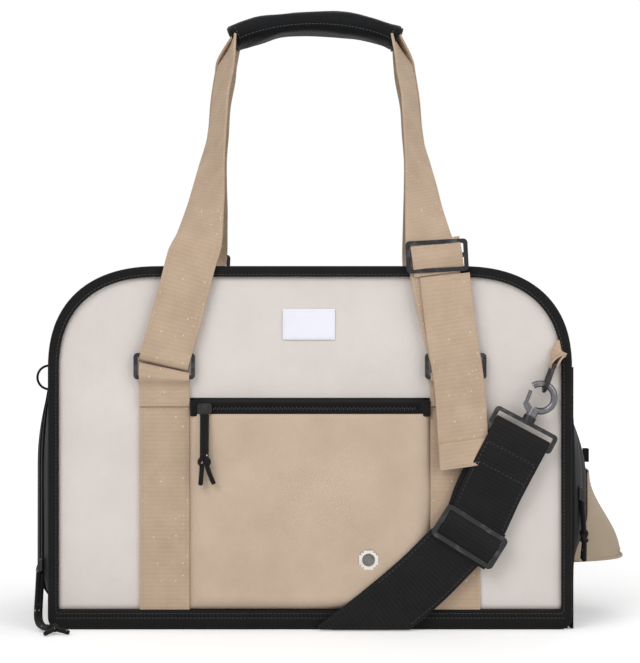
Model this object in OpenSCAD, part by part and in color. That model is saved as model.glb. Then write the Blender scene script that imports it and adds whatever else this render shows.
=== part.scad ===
// Soft-sided pet carrier bag. Millimetres, +Z up, +X to the bag's right, front face towards -Y.
// The origin is the centre of the base's underside, on the surface that the bag stands on.

/* [Body] */
// Width over the side bindings
body_w = 440; // [400:5:480]
// Depth over the front and back bindings
body_d = 260; // [230:5:300]
// Height of the body without its handles
body_h = 305; // [285:5:330]
// Width of the curve at each top corner
corner_w = 96; // [70:2:110]
// Height of the curve at each top corner
corner_h = 88; // [70:2:95]
// Radius of each bottom corner
foot_r = 10; // [6:1:14]
// Thickness of the padded fabric panels
panel_t = 3; // [2:0.5:4]
// Width of the binding tape seen from the front
binding_w = 9; // [7:1:12]
// Depth of the binding tape from front to back
binding_t = 8; // [6:1:10]
// Height of the black band at the foot of the front and back
band_h = 17; // [12:1:24]
// How far the left end bellies outwards
left_bulge = 24; // [12:1:28]
// How far the right end bellies outwards
right_bulge = 28; // [16:1:32]

/* [Base] */
// Thickness of the base fabric with its foam
base_t = 4.4; // [4:0.2:6]
// Thickness of the stiffening board
board_t = 3; // [2:0.5:4]
// Thickness of the fleece mat
mat_t = 11; // [6:1:16]
// Gap between the board or mat and the walls
board_gap = 5; // [3:1:8]

/* [End doors] */
// Half of the width of a door
door_half_w = 96; // [80:1:102]
// Height of a door's foot above the floor
door_z0 = 26; // [22:1:40]
// How far a door's hinge seam lies below the start of the top corners
hinge_drop = 9; // [3:1:27]
// Width of the gap that the zip closes
door_gap = 0.5; // [0.3:0.1:1]
// Depth of the canvas flap from its seam to its hem
flap_drop = 78; // [60:2:90]
// Half of the flap's width at its hem
flap_half_w = 62; // [40:2:80]
// How far the flap's hem stands off the door
flap_stand = 30; // [20:1:40]
// Height of the flap's hem above the floor
flap_hem_z = 48; // [44:1:60]

/* [Front pocket] */
// Gap between the pocket and the webbing strips beside it
pocket_gap = 0.5; // [0.5:0.5:8]
// Height of the pocket's foot
pocket_z0 = 18; // [17.5:0.5:26]
// Height of the zip's lower edge
pocket_z1 = 180; // [160:1:186]
// Height of the black zip tape
zip_h = 11; // [9:1:14]
// How far the filled pocket stands off the panel
pocket_puff = 7; // [6:0.5:7]
// Thickness of the pocket's canvas
canvas_t = 1.4; // [1:0.1:1.6]
// Radius of the grommet's flange
grommet_r = 9.6; // [8:0.2:11]
// Radius of the grommet's hole
grommet_hole_r = 5.4; // [4:0.2:6]

/* [Webbing and handles] */
// Width of the carrying webbing
webbing_w = 42; // [36:1:44]
// Thickness of one layer of webbing
webbing_t = 1.8; // [1.4:0.1:2]
// Distance from the body's side to the middle of each webbing strip
strip_in = 98; // [97:0.5:99]
// Height of the middle of each square ring
ring_z = 221; // [217:1:224]
// Outer height of a square ring
ring_h = 22; // [20:1:26]
// Thickness of a square ring's bars
ring_bar = 3.2; // [2.6:0.1:3.4]
// Height of the middle of the grip above the floor
grip_z = 530; // [500:5:560]
// Radius of the grip's arch
grip_arch_r = 213; // [180:1:260]
// Length of the grip along its arch
grip_len = 156; // [140:2:170]
// Depth of the padded grip
grip_d = 47; // [44:1:54]
// Thickness of the padded grip
grip_t = 19; // [16:1:24]
// Length of the loose tail under each handle buckle
tail_len = 162; // [120:1:170]

/* [Shoulder strap] */
// Width of the shoulder strap
strap_w = 50; // [44:1:50]
// Thickness of the doubled shoulder strap
strap_t = 3.2; // [2.4:0.2:3.6]
// Thickness of the single shoulder strap under the base
strap_flat_t = 1.7; // [1.2:0.1:1.8]
// Lean of the shoulder strap at its hook
strap_lean = 28; // [24:1:32]
// Radius of the bar that the snap hook is cast from
hook_bar_r = 2.8; // [2.2:0.1:3]
// Radius of the snap hook's bow
hook_bow_r = 11.5; // [11:0.5:13]

/* [Hidden] */

ROUND = 48;            // facets of a full circle
CORNER_STEPS = 12;     // steps round a top corner
FOOT_STEPS = 3;        // steps round a bottom corner
SEAT = 0.3;            // clearance between soft pieces that only lie on each other
half_w = body_w / 2;
half_d = body_d / 2;
gusset_half = half_d - 4;               // the end and top fabric runs between the two bindings
front_y = -half_d;                      // outer face of the front panel
strip_x = half_w - strip_in;            // middle of each webbing strip
pocket_half_w = strip_x - webbing_w / 2 - pocket_gap;
curve_z = body_h - corner_h;            // height at which the top corners begin
door_z1 = curve_z - hinge_drop;         // a door's hinge seam
base_top = base_t;
board_z = base_top + SEAT;
mat_z = board_z + board_t + SEAT;

// ---------- outlines and shells ----------

// Points along an elliptical arc in a plane
function arc_points(cx, cz, rx, rz, a0, a1, n) =
    [for (i = [0:n]) let (a = a0 + (a1 - a0) * i / n) [cx + rx * cos(a), cz + rz * sin(a)]];

// The body's front outline, drawn in from its edge by inset and up from the floor by foot
function outline(inset, foot) =
    let (hw = half_w - inset, top = body_h - inset, rx = corner_w - inset, rz = corner_h - inset,
        rf = max(foot_r - inset, 1.5))
    concat(
        arc_points(hw - rf, foot + rf, rf, rf, -90, 0, FOOT_STEPS),
        arc_points(hw - rx, top - rz, rx, rz, 0, 90, CORNER_STEPS),
        arc_points(-hw + rx, top - rz, rx, rz, 90, 180, CORNER_STEPS),
        arc_points(-hw + rf, foot + rf, rf, rf, 180, 270, FOOT_STEPS));

// Extrudes a shape drawn in X and Z from y0 towards the back by t
module upright(y0, t) {
    translate([0, y0 + t, 0])
        rotate([90, 0, 0])
            linear_extrude(t)
                children();
}

// A box between two corners
module box(low, high) {
    translate(low)
        cube(high - low);
}

function rounded_points(w, h, r, n = 5) = concat(
    arc_points(w / 2 - r, -h / 2 + r, r, r, -90, 0, n),
    arc_points(w / 2 - r, h / 2 - r, r, r, 0, 90, n),
    arc_points(-w / 2 + r, h / 2 - r, r, r, 90, 180, n),
    arc_points(-w / 2 + r, -h / 2 + r, r, r, 180, 270, n));

function ease(t) = (1 - cos(180 * min(max(t, 0), 1))) / 2;

// Each end's belly: how far it stands out, where it begins above the floor and over what height
// it comes out, and where it has gone again at the top and over what height
LEFT = [left_bulge, 16, 24, curve_z, 80];
RIGHT = [right_bulge, 32, 60, curve_z - 33, 60];

// How far an end stands off the plane of the side bindings
function belly(end, y, z) =
    end[0] * (1 - pow(y / gusset_half, 2))
    * ease((z - end[1]) / end[2]) * sin(90 * min(max((end[3] - z) / end[4], 0), 1));

// Faces of a closed shell whose points are a grid of ny by nz cells twice over, skin by skin
function shell_faces(ny, nz) =
    let (cols = ny + 1, at = function (side, i, j) (side * (nz + 1) + j) * cols + i)
    concat(
        [for (j = [0:nz - 1]) for (i = [0:ny - 1]) for (f = [
            [at(0, i, j), at(0, i + 1, j), at(0, i + 1, j + 1)],
            [at(0, i, j), at(0, i + 1, j + 1), at(0, i, j + 1)],
            [at(1, i, j), at(1, i + 1, j + 1), at(1, i + 1, j)],
            [at(1, i, j), at(1, i, j + 1), at(1, i + 1, j + 1)]]) f],
        [for (i = [0:ny - 1]) for (f = [
            [at(0, i, 0), at(1, i, 0), at(1, i + 1, 0)], [at(0, i, 0), at(1, i + 1, 0), at(0, i + 1, 0)],
            [at(0, i, nz), at(1, i + 1, nz), at(1, i, nz)],
            [at(0, i, nz), at(0, i + 1, nz), at(1, i + 1, nz)]]) f],
        [for (j = [0:nz - 1]) for (f = [
            [at(0, 0, j), at(1, 0, j + 1), at(1, 0, j)], [at(0, 0, j), at(0, 0, j + 1), at(1, 0, j + 1)],
            [at(0, ny, j), at(1, ny, j), at(1, ny, j + 1)],
            [at(0, ny, j), at(1, ny, j + 1), at(0, ny, j + 1)]]) f]);

// ---------- ribbons ----------

// Catmull-Rom value between p1 and p2 at t
function spline(p0, p1, p2, p3, t) =
    0.5 * (2 * p1 + (p2 - p0) * t + (2 * p0 - 5 * p1 + 4 * p2 - p3) * t * t
        + (3 * p1 - p0 - 3 * p2 + p3) * t * t * t);

// A smooth run of rows through a list of key rows, with n steps between each pair
function smooth_rows(keys, n) =
    let (last = len(keys) - 1)
    concat(
        [for (k = [0:last - 1]) for (i = [0:n - 1])
            spline(keys[max(k - 1, 0)], keys[k], keys[k + 1], keys[min(k + 2, last)], i / n)],
        [keys[last]]);

// A flat ribbon through rows [x, y, z, turn about +Z, lean about -Y, width], t thick
module ribbon(rows, t) {
    last = len(rows) - 1;
    points = [for (r = rows)
        let (side = [cos(r[4]) * cos(r[3]), cos(r[4]) * sin(r[3]), -sin(r[4])],
            face = [-sin(r[3]), cos(r[3]), 0], c = [r[0], r[1], r[2]])
        for (k = [[-1, -1], [1, -1], [1, 1], [-1, 1]])
            c + side * k[0] * r[5] / 2 + face * k[1] * t / 2];
    sides = [for (i = [0:last - 1]) for (k = [0:3])
        let (a = 4 * i + k, b = 4 * i + (k + 1) % 4)
        for (f = k < 2 ? [[a, b + 4, b], [a, a + 4, b + 4]] : [[a, a + 4, b], [b, a + 4, b + 4]]) f];
    caps = [[0, 1, 2], [0, 2, 3], [4 * last, 4 * last + 2, 4 * last + 1],
        [4 * last, 4 * last + 3, 4 * last + 2]];
    polyhedron(points, concat(sides, caps), convexity = 6);
}

// A rod of radius r between two points
module rod(a, b, r, fn = 24) {
    v = b - a;
    translate(a)
        rotate([0, acos(v[2] / norm(v)), atan2(v[1], v[0])])
            cylinder(h = norm(v), r = r, $fn = fn);
}

// A flat metal frame with rounded corners, standing in X and Z about its middle
module flat_ring(w, h, bar, t) {
    upright(-t / 2, t)
        difference() {
            polygon(rounded_points(w, h, bar));
            polygon(rounded_points(w - 2 * bar, h - 2 * bar, 1));
        }
}

// ---------- panels and base ----------

strap_cross_x = half_w - 177;           // where the shoulder strap passes under the base
groove_h = strap_flat_t + 2 * SEAT;

// The channel that lets the shoulder strap lie under the base
module strap_groove() {
    w = strap_w / 2 + 1;
    box([strap_cross_x - w, -body_d, -1], [strap_cross_x + w, body_d, groove_h]);
}

module base_panel() {
    color("#262525")
        difference() {
            box([-half_w + panel_t, -gusset_half, 0], [half_w - panel_t, gusset_half, base_t]);
            strap_groove();
        }
}

module base_board() {
    x = half_w - panel_t - board_gap;
    y = gusset_half - board_gap;
    color("#3a3836")
        translate([0, 0, board_z])
            linear_extrude(board_t)
                polygon(rounded_points(2 * x, 2 * y, 14));
}

module base_mat() {
    x = half_w - panel_t - board_gap - 2;
    y = gusset_half - board_gap - 2;
    color("#8d8983")
        translate([0, 0, mat_z])
            linear_extrude(mat_t)
                polygon(rounded_points(2 * x, 2 * y, 20));
}

module face_panel() {
    upright(0, panel_t)
        polygon(outline(binding_w, band_h));
}

module front_panel() {
    color("#dcd5cf")
        translate([0, front_y, 0])
            face_panel();
}

module back_panel() {
    color("#dcd5cf")
        translate([0, half_d - panel_t, 0])
            face_panel();
}

module binding_ring() {
    difference() {
        upright(0, binding_t)
            difference() {
                polygon(outline(0, 0));
                polygon(outline(binding_w, band_h));
            }
        strap_groove();
    }
}

module front_binding() {
    color("#262525")
        translate([0, -gusset_half - binding_t, 0])
            binding_ring();
}

module back_binding() {
    color("#262525")
        translate([0, gusset_half, 0])
            binding_ring();
}

module top_panel() {
    color("#262525")
        upright(-gusset_half, 2 * gusset_half)
            intersection() {
                difference() {
                    polygon(outline(0, 0));
                    polygon(outline(panel_t, 0));
                }
                translate([-body_w, curve_z])
                    square([2 * body_w, body_h]);
            }
}

// ---------- left and right ends ----------

// An end's fabric from the floor to the start of the top corners, drawn on the left
module end_fabric(end) {
    ny = 14;
    nz = 18;
    points = [for (side = [0, 1]) for (j = [0:nz]) for (i = [0:ny])
        let (y = gusset_half * (2 * i / ny - 1), z = curve_z * j / nz)
        [-half_w - belly(end, y, z) + side * panel_t, y, z]];
    polyhedron(points, shell_faces(ny, nz), convexity = 6);
}

module end_frame(end) {
    difference() {
        end_fabric(end);
        box([-body_w, -door_half_w - door_gap, door_z0 - door_gap],
            [0, door_half_w + door_gap, door_z1 + door_gap]);
    }
}

module end_door(end) {
    intersection() {
        end_fabric(end);
        box([-body_w, -door_half_w, door_z0], [0, door_half_w, door_z1]);
    }
}

module left_end_frame() {
    color("#1f1e1e")
        end_frame(LEFT);
}

module right_end_frame() {
    color("#1f1e1e")
        mirror([1, 0, 0])
            end_frame(RIGHT);
}

module left_door() {
    color("#1b1b1b")
        end_door(LEFT);
}

module right_door() {
    color("#1b1b1b")
        mirror([1, 0, 0])
            end_door(RIGHT);
}

// Canvas hood that shades the foot of the right door
flap_z1 = flap_hem_z + flap_drop;

module end_flap() {
    ny = 10;
    nz = 8;
    function lift(z) =
        belly(RIGHT, 0, flap_z1) - belly(RIGHT, 0, z)
        + flap_stand * pow(sin(90 * (flap_z1 - z) / flap_drop), 2);
    function stand(y, z) =
        half_w + belly(RIGHT, y, z) + 2 * SEAT
        + lift(z) * (1 - pow(abs(y / flap_half_w), 3.2));
    points = [for (side = [0, 1]) for (j = [0:nz]) for (i = [0:ny])
        let (y = flap_half_w * (2 * i / ny - 1), z = flap_hem_z + flap_drop * j / nz)
        [stand(y, z) + side * canvas_t, y, z]];
    color("#ab9b87")
        polyhedron(points, shell_faces(ny, nz), convexity = 6);
}

module cord_loop() {
    loop_r = 10;
    cord = 1;
    y = -gusset_half + 14;
    z = curve_z - 6;
    color("#262525")
        translate([-half_w - belly(LEFT, y, z - loop_r), y, z])
            rotate([90, 0, 0])
                rotate([0, 0, 90])
                    rotate_extrude(angle = 180, $fn = ROUND)
                        translate([loop_r, 0])
                            circle(r = cord, $fn = 16);
}

// Small loop of tape above the hood
module right_end_tab() {
    tab_w = 14;
    tab_h = 12;
    tab_t = 4;
    tab_z = flap_z1 + 6;
    x = half_w + belly(RIGHT, 0, tab_z) + SEAT;
    color("#1f1e1e")
        box([x, -tab_w / 2, tab_z], [x + tab_t, tab_w / 2, tab_z + tab_h]);
}

// ---------- front pocket ----------

grommet_x = pocket_half_w - 51.5;
grommet_z = pocket_z0 + 41;

// The pocket wall's outline seen from above, drawn in by t
function pocket_points(t) =
    let (n = 28, w = pocket_half_w - t, d = pocket_puff - t)
    [for (i = [0:n]) let (x = -w * cos(180 * i / n))
        [x, front_y - SEAT - d * (1 - pow(abs(x / w), 16))]];

module pocket_wall(z0, z1) {
    translate([0, 0, z0])
        linear_extrude(z1 - z0)
            difference() {
                polygon(pocket_points(0));
                polygon(pocket_points(canvas_t));
            }
}

module front_pocket() {
    color("#c6b29d")
        difference() {
            union() {
                pocket_wall(pocket_z0, pocket_z1);
                translate([0, 0, pocket_z0])
                    linear_extrude(canvas_t)
                        polygon(pocket_points(0));
            }
            translate([grommet_x, front_y, grommet_z])
                rotate([90, 0, 0])
                    cylinder(h = 2 * pocket_puff, r = grommet_hole_r + 1.1, $fn = ROUND);
        }
}

module pocket_zip() {
    color("#1c1b1b")
        pocket_wall(pocket_z1, pocket_z1 + zip_h);
}

module pocket_grommet() {
    face = front_y - SEAT - pocket_puff;
    color("#c9c6c2")
        translate([grommet_x, 0, grommet_z])
            rotate([-90, 0, 0])
                translate([0, 0, face - 1])
                    difference() {
                        union() {
                            cylinder(h = 1, r = grommet_r, $fn = ROUND);
                            cylinder(h = canvas_t + 1.6, r = grommet_hole_r + 1, $fn = ROUND);
                        }
                        translate([0, 0, -1])
                            cylinder(h = canvas_t + 4, r = grommet_hole_r, $fn = ROUND);
                    }
}

module label_patch() {
    label_w = 44;
    label_h = 26;
    color("#ecedf7")
        translate([-1, 0, body_h - 49])
            upright(front_y - SEAT - 0.8, 0.8)
                polygon(rounded_points(label_w, label_h, 1));
}

// ---------- zip sliders and cord pulls ----------

module slider_body(w, h, t) {
    upright(-t, t)
        polygon(rounded_points(w, h, 2.4));
    upright(-t - 1.6, 1.6)
        polygon(rounded_points(w * 0.55, h * 0.6, 1));
}

slider_w = 12;                          // along its zip
slider_h = 9;                           // across its zip
slider_t = 2.6;
cord_r = 2;
knot_r = 6;
pocket_slider_x = 12.5 - pocket_half_w;
slider_z = pocket_z1 + zip_h / 2;
slider_y = front_y - pocket_puff - 2 * SEAT;

module pocket_slider() {
    color("#2c2b2b")
        translate([pocket_slider_x, slider_y, slider_z])
            slider_body(slider_w, slider_h, slider_t);
}

// A doubled cord with its knot and two tails, hanging from the origin and standing out by lean
module hanging_pull(drop, lean) {
    half_gap = cord_r - 0.3;            // the two runs of cord press together
    tail_drop = 20;                     // from the knot to the ends of the tails
    splay = 7;
    for (s = [-1, 1]) {
        rod([s * half_gap, 0, 0], [s * half_gap, -lean, 2 - drop], cord_r, 8);
        rod([s * half_gap, -lean, -drop - 2], [s * splay, -lean, -drop - tail_drop], cord_r, 8);
    }
    translate([0, -lean, -drop])
        sphere(r = knot_r, $fn = 12);
}

module pocket_pull() {
    color("#211f1f")
        translate([pocket_slider_x, slider_y - slider_t, slider_z - slider_h / 2 - SEAT])
            hanging_pull(38, knot_r - slider_t);
}

// Sliders of the end zips run beside the doors, on the frames
end_slider_y = -(door_half_w + gusset_half) / 2;
left_slider_x = slider_seat(LEFT);
right_slider_x = slider_seat(RIGHT);
left_slider_z = 52;
right_slider_z = 112;

// Where a slider sits on an end, measured outwards from the bag's middle
function slider_seat(end) =
    half_w + belly(end, end_slider_y + slider_h / 2, curve_z / 2) + SEAT;

module end_slider(x, z) {
    color("#2c2b2b")
        translate([-x, end_slider_y, z])
            rotate([0, 0, -90])
                slider_body(slider_h, slider_w, slider_t);
}

module left_door_slider() {
    end_slider(left_slider_x, left_slider_z);
}

module right_door_slider() {
    mirror([1, 0, 0])
        end_slider(right_slider_x, right_slider_z);
}

module right_door_pull() {
    color("#211f1f")
        translate([right_slider_x + slider_t, end_slider_y, right_slider_z - slider_w / 2 - SEAT])
            rotate([0, 0, 90])
                hanging_pull(30, 2);
}

// The lower left pull reaches the floor and lies on it round the corner
module left_door_pull() {
    x = -left_slider_x - slider_t + 0.5;
    top = [x, end_slider_y, left_slider_z - slider_w / 2 - SEAT - 0.43 * cord_r];
    bend = [x, end_slider_y - 20, cord_r + SEAT];
    knot = [-half_w + 6, front_y - 24, knot_r + SEAT];
    foot = [knot[0], knot[1], cord_r + SEAT];
    color("#211f1f") {
        rod(top, bend, cord_r, 8);
        rod(bend, foot, cord_r, 8);
        translate(knot)
            sphere(r = knot_r, $fn = 12);
        rod(foot, foot + [16, -9, 0], cord_r, 8);
        rod(foot, foot + [-12, -14, 0], cord_r, 8);
    }
}

// ---------- webbing strips and square rings ----------

loop_bore_r = 2.6;
ring_y = front_y - SEAT - loop_bore_r - webbing_t;      // middle of the rings at the front
lower_bar_z = ring_z - ring_h / 2 + ring_bar / 2;

// One sewn strip with its fold round the lower bar of a ring
module webbing_strip() {
    top = lower_bar_z - loop_bore_r;
    rotate([0, -90, 0])
        translate([0, 0, -webbing_w / 2])
            linear_extrude(webbing_w)
                union() {
                    translate([band_h + SEAT, front_y - SEAT - webbing_t])
                        square([top - band_h, webbing_t]);
                    difference() {
                        translate([lower_bar_z, ring_y])
                            circle(r = loop_bore_r + webbing_t, $fn = ROUND);
                        translate([lower_bar_z, ring_y])
                            circle(r = loop_bore_r, $fn = ROUND);
                    }
                }
}

module webbing_pair() {
    for (s = [-1, 1])
        translate([s * strip_x, 0, 0])
            webbing_strip();
}

module front_webbing() {
    color("#b6a088")
        webbing_pair();
}

module back_webbing() {
    color("#b6a088")
        rotate([0, 0, 180])
            webbing_pair();
}

module square_ring() {
    flat_ring(webbing_w + 2 * ring_bar + 3, ring_h, ring_bar, ring_bar);
}

module front_ring(s) {
    color("#2b2a2a")
        translate([s * strip_x, ring_y, ring_z])
            square_ring();
}

module ring_front_left() {
    front_ring(-1);
}

module ring_front_right() {
    front_ring(1);
}

module ring_back_left() {
    rotate([0, 0, 180])
        front_ring(1);
}

module ring_back_right() {
    rotate([0, 0, 180])
        front_ring(-1);
}

// ---------- carrying handles ----------

handle_t = 2.2;
handle_skew = 4;                        // the grip hangs a little to the right
handle_y = half_d + 6.6;
handle_top_x = grip_len / 2 - 6;

// One handle strap: s is -1 at the left and 1 at the right, f is -1 at the front and 1 at the back
module handle_strap(s, f) {
    top_x = handle_top_x + s * f * 1.4;
    top_z = grip_z - grip_arch_r - SEAT
        + sqrt(pow(grip_arch_r - grip_t / 2, 2) - pow(top_x + handle_t / 2, 2));
    rise = top_z - body_h;
    function row(x, y, z, turn, lean, skew) =
        [s * x + handle_skew * skew, f * y, z, -f * s * turn, -s * lean, webbing_w];
    keys = [
        row(strip_x - 2, handle_y, ring_z + ring_h / 2 + SEAT, 0, 0, 0),
        row(strip_x - 9, handle_y, ring_z + 44, 0, 16, 0.1),
        row(strip_x - 19, handle_y, body_h + 2, 0, 18, 0.3),
        row(strip_x - 22, handle_y - 1.8, body_h + 12, 6, 18, 0.33),
        row(strip_x - 25, handle_y - 6.6, body_h + 23, 18, 17, 0.38),
        row(strip_x - 29, handle_y - 14.6, body_h + 0.17 * rise, 36, 15, 0.45),
        row(strip_x - 36, 0.75 * half_d, body_h + 0.34 * rise, 50, 10, 0.6),
        row(handle_top_x + 7, 0.54 * half_d, body_h + 0.56 * rise, 68, 6, 0.75),
        row(handle_top_x + 3, 38, body_h + 0.78 * rise, 76, 3, 0.9),
        row(top_x, 24.5, body_h + 0.9 * rise, 88, 0, 1),
        row(top_x, 3, top_z, 90, 0, 1)];
    color("#c0a98f")
        ribbon(smooth_rows(keys, 4), handle_t);
}

module handle_front_left() {
    handle_strap(-1, -1);
}

module handle_front_right() {
    handle_strap(1, -1);
}

module handle_back_left() {
    handle_strap(-1, 1);
}

module handle_back_right() {
    handle_strap(1, 1);
}

module grip() {
    sweep = grip_len / grip_arch_r * 180 / PI;
    color("#232325")
        translate([handle_skew, 0, grip_z - grip_arch_r])
            rotate([90, 0, 0])
                rotate([0, 0, 90 - sweep / 2])
                    rotate_extrude(angle = sweep, $fn = 4 * ROUND)
                        translate([grip_arch_r, 0])
                            polygon(rounded_points(grip_t, grip_d, grip_t * 0.42));
}

buckle_z = body_h + 8;
buckle_x = strip_x - 16;
buckle_lean = -3;                       // it hangs nearly level
buckle_h = 27;
buckle_bar = 3.6;
buckle_t = 3;
buckle_y = handle_y + handle_t / 2 + SEAT + buckle_t / 2 + 0.1;

// The sliding buckle on the right front strap, and the same turned half round for the back one
module handle_buckle() {
    color("#2b2a2a")
        translate([buckle_x, -buckle_y, buckle_z])
            rotate([0, buckle_lean, 0]) {
                flat_ring(webbing_w + 10, buckle_h, buckle_bar, buckle_t);
                upright(-buckle_t / 2, buckle_t)
                    square([webbing_w + 4, 4], center = true);
            }
}

module front_buckle() {
    handle_buckle();
}

module back_buckle() {
    rotate([0, 0, 180])
        handle_buckle();
}

// The loose tail of a handle strap below its buckle
module strap_tail() {
    y = -handle_y - handle_t / 2 - SEAT - webbing_t / 2;
    top = buckle_z - buckle_h / 2 - 3;
    keys = [
        [strip_x + 7, y - 1.9, top - tail_len, 0, -8, webbing_w],
        [strip_x + 3, y - 1.8, top - 0.6 * tail_len, 0, -8, webbing_w],
        [strip_x - 4, y - 0.7, top - 0.3 * tail_len, 0, -10, webbing_w],
        [strip_x - 12, y, top, 0, -6, webbing_w]];
    color("#b8a28c")
        ribbon(smooth_rows(keys, 4), webbing_t);
}

module front_tail() {
    strap_tail();
}

module back_tail() {
    rotate([0, 0, 180])
        strap_tail();
}

// ---------- shoulder strap hardware ----------

hook_x = half_w - 42;                   // middle of the hook's base loop
hook_y = half_d + 11;
hook_z = body_h - 137;
bow_z = 30.5;                           // middle of the hook's bow above its base loop
hook_base_h = 17;                       // height of its base loop
strap_drop = hook_base_h / 2 + 0.7;     // from the middle of the base loop to the strap's fold
d_ring_r = 8.5;
d_ring_bar_r = 1.7;
d_ring_reach = 23;
d_ring_x = half_w - 17;
d_ring_z = hook_z + 54;
d_ring_turn = 20;
barrel_r = 4.6;
shank_r = 2.3;
RUN_FIT = 0.1;                          // clearance of a shaft in its bore

module on_hook() {
    translate([hook_x, -hook_y, hook_z])
        rotate([0, strap_lean, 0])
            children();
}

module hook_base() {
    color("#262525")
        on_hook() {
            flat_ring(strap_w + 8, hook_base_h, 3.5, 4);
            difference() {
                translate([0, 0, 8])
                    cylinder(h = 5, r = 5.4, $fn = ROUND);
                translate([0, 0, 7])
                    cylinder(h = 7, r = shank_r + RUN_FIT, $fn = ROUND);
            }
        }
}

gate_x = -8.2;                          // the gate's pin beside the barrel
gate_z = 20.5;
gate_pin_r = 0.9;
gate_eye_w = 4.2;

// A short round bar across the hook at the gate's pin
module across_gate(r, w) {
    translate([gate_x, w / 2, gate_z])
        rotate([90, 0, 0])
            cylinder(h = w, r = r, $fn = ROUND / 2);
}

module snap_hook() {
    ear_t = 1.4;
    color("#5b585a")
        on_hook() {
            translate([0, 0, 9])
                cylinder(h = 6, r = shank_r, $fn = ROUND);
            translate([0, 0, 13 + SEAT])
                cylinder(h = bow_z - hook_bow_r - 12.4, r = barrel_r, $fn = ROUND);
            translate([0, 0, bow_z])
                rotate([90, 0, 0])
                    rotate([0, 0, -90])
                        rotate_extrude(angle = 240, $fn = ROUND)
                            translate([hook_bow_r, 0])
                                circle(r = hook_bar_r, $fn = 24);
            for (s = [-1, 1])
                upright(s * (gate_eye_w / 2 + 0.2 + ear_t / 2) - ear_t / 2, ear_t)
                    polygon([[-2, 14], [-5, 15], [gate_x - 2, gate_z - 1.4], [gate_x - 2, gate_z + 1.4],
                        [gate_x + 1.6, gate_z + 1.8], [-2, 19]]);
            across_gate(gate_pin_r, gate_eye_w + 2 * ear_t);
        }
}

module hook_gate() {
    color("#6e6b6d")
        on_hook()
            difference() {
                union() {
                    across_gate(2.2, gate_eye_w);
                    rod([gate_x - 0.3, 0, gate_z + 0.6], [-hook_bow_r * 0.87, 0, bow_z + 1.6], 1.5);
                }
                across_gate(gate_pin_r + RUN_FIT, 2 * gate_eye_w);
            }
}

module front_hook_base() {
    hook_base();
}

module back_hook_base() {
    rotate([0, 0, 180])
        hook_base();
}

module front_hook() {
    snap_hook();
}

module back_hook() {
    rotate([0, 0, 180])
        snap_hook();
}

module front_gate() {
    hook_gate();
}

module back_gate() {
    rotate([0, 0, 180])
        hook_gate();
}

module d_ring() {
    leg = d_ring_reach - d_ring_r;
    color("#2b2a2a")
        translate([d_ring_x, -hook_y, d_ring_z])
            rotate([0, d_ring_turn, 0]) {
                rod([0, -d_ring_r, 0], [0, d_ring_r, 0], d_ring_bar_r);
                for (s = [-1, 1]) {
                    rod([0, s * d_ring_r, 0], [0, s * d_ring_r, -leg], d_ring_bar_r);
                    translate([0, s * d_ring_r, 0])
                        sphere(r = d_ring_bar_r, $fn = 24);
                }
                translate([0, 0, -leg])
                    rotate([0, 90, 0])
                        rotate([0, 0, -90])
                            rotate_extrude(angle = 180, $fn = ROUND)
                                translate([d_ring_r, 0])
                                    circle(r = d_ring_bar_r, $fn = 24);
            }
}

module front_d_ring() {
    d_ring();
}

module back_d_ring() {
    rotate([0, 0, 180])
        d_ring();
}

// Folded webbing tab, sewn to the binding, that holds a D-ring
module d_ring_tab() {
    w = 2 * (d_ring_r - d_ring_bar_r) - 1;
    tab_y = -hook_y + w / 2;
    bore = d_ring_bar_r + SEAT + 0.1;
    translate([d_ring_x, 0, d_ring_z])
        upright(tab_y - w, w)
            difference() {
                union() {
                    circle(r = bore + 1.6, $fn = ROUND);
                    polygon([[-1, 3], [3, -1], [half_w - d_ring_x - 2, 11], [half_w - d_ring_x - 5, 16]]);
                }
                circle(r = bore, $fn = ROUND);
            }
}

module d_ring_tabs() {
    color("#b6a088")
        for (a = [0, 180])
            rotate([0, 0, a])
                d_ring_tab();
}

// ---------- shoulder strap ----------

strap_y = half_d + 8.4;

module above_floor() {
    intersection() {
        children();
        box([-body_w, -body_d, SEAT], [body_w, body_d, body_h]);
    }
}

module shoulder_strap_front() {
    w = strap_w;
    keys = [
        [strap_cross_x - 21, -strap_y - 1, -16, 0, 52, w],
        [strap_cross_x - 1, -strap_y - 1.6, 0, 0, 52, w],
        [strap_cross_x + 24, -strap_y - 1.8, 20, 0, 52, w],
        [hook_x - 83, -strap_y - 1.4, 44, 0, 46, w],
        [hook_x - 59, -strap_y - 0.8, hook_z - 100, 0, 38, w],
        [hook_x - 42, -strap_y - 0.2, hook_z - 84, 0, 31, w],
        [hook_x - 24, -strap_y + 0.9, hook_z - 46, 0, strap_lean, w],
        [hook_x - strap_drop * sin(strap_lean), -strap_y, hook_z - strap_drop * cos(strap_lean),
            0, strap_lean, w]];
    color("#242424")
        above_floor()
            ribbon(smooth_rows(keys, 4), strap_t);
}

module shoulder_strap_under() {
    color("#242424")
        box([strap_cross_x - strap_w / 2, -strap_y + 1.8, SEAT],
            [strap_cross_x + strap_w / 2, strap_y - 1.8, SEAT + strap_flat_t]);
}

module shoulder_strap_back() {
    w = strap_w;
    keys = [
        [strap_cross_x + 21, strap_y, -16, 0, -52, w],
        [strap_cross_x, strap_y, 0, 0, -52, w],
        [strap_cross_x - 43, strap_y, 32, 0, -54, w],
        [118 - hook_x, strap_y - 1.2, hook_z - 94, 0, -55, w],
        [68 - hook_x, strap_y - 1.6, hook_z - 60, 0, -54, w],
        [20 - hook_x, strap_y - 1.4, hook_z - 36, 0, -42, w],
        [strap_drop * sin(strap_lean) - hook_x, strap_y, hook_z - strap_drop * cos(strap_lean),
            0, -strap_lean, w]];
    color("#242424")
        above_floor()
            ribbon(smooth_rows(keys, 4), strap_t);
}

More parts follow.
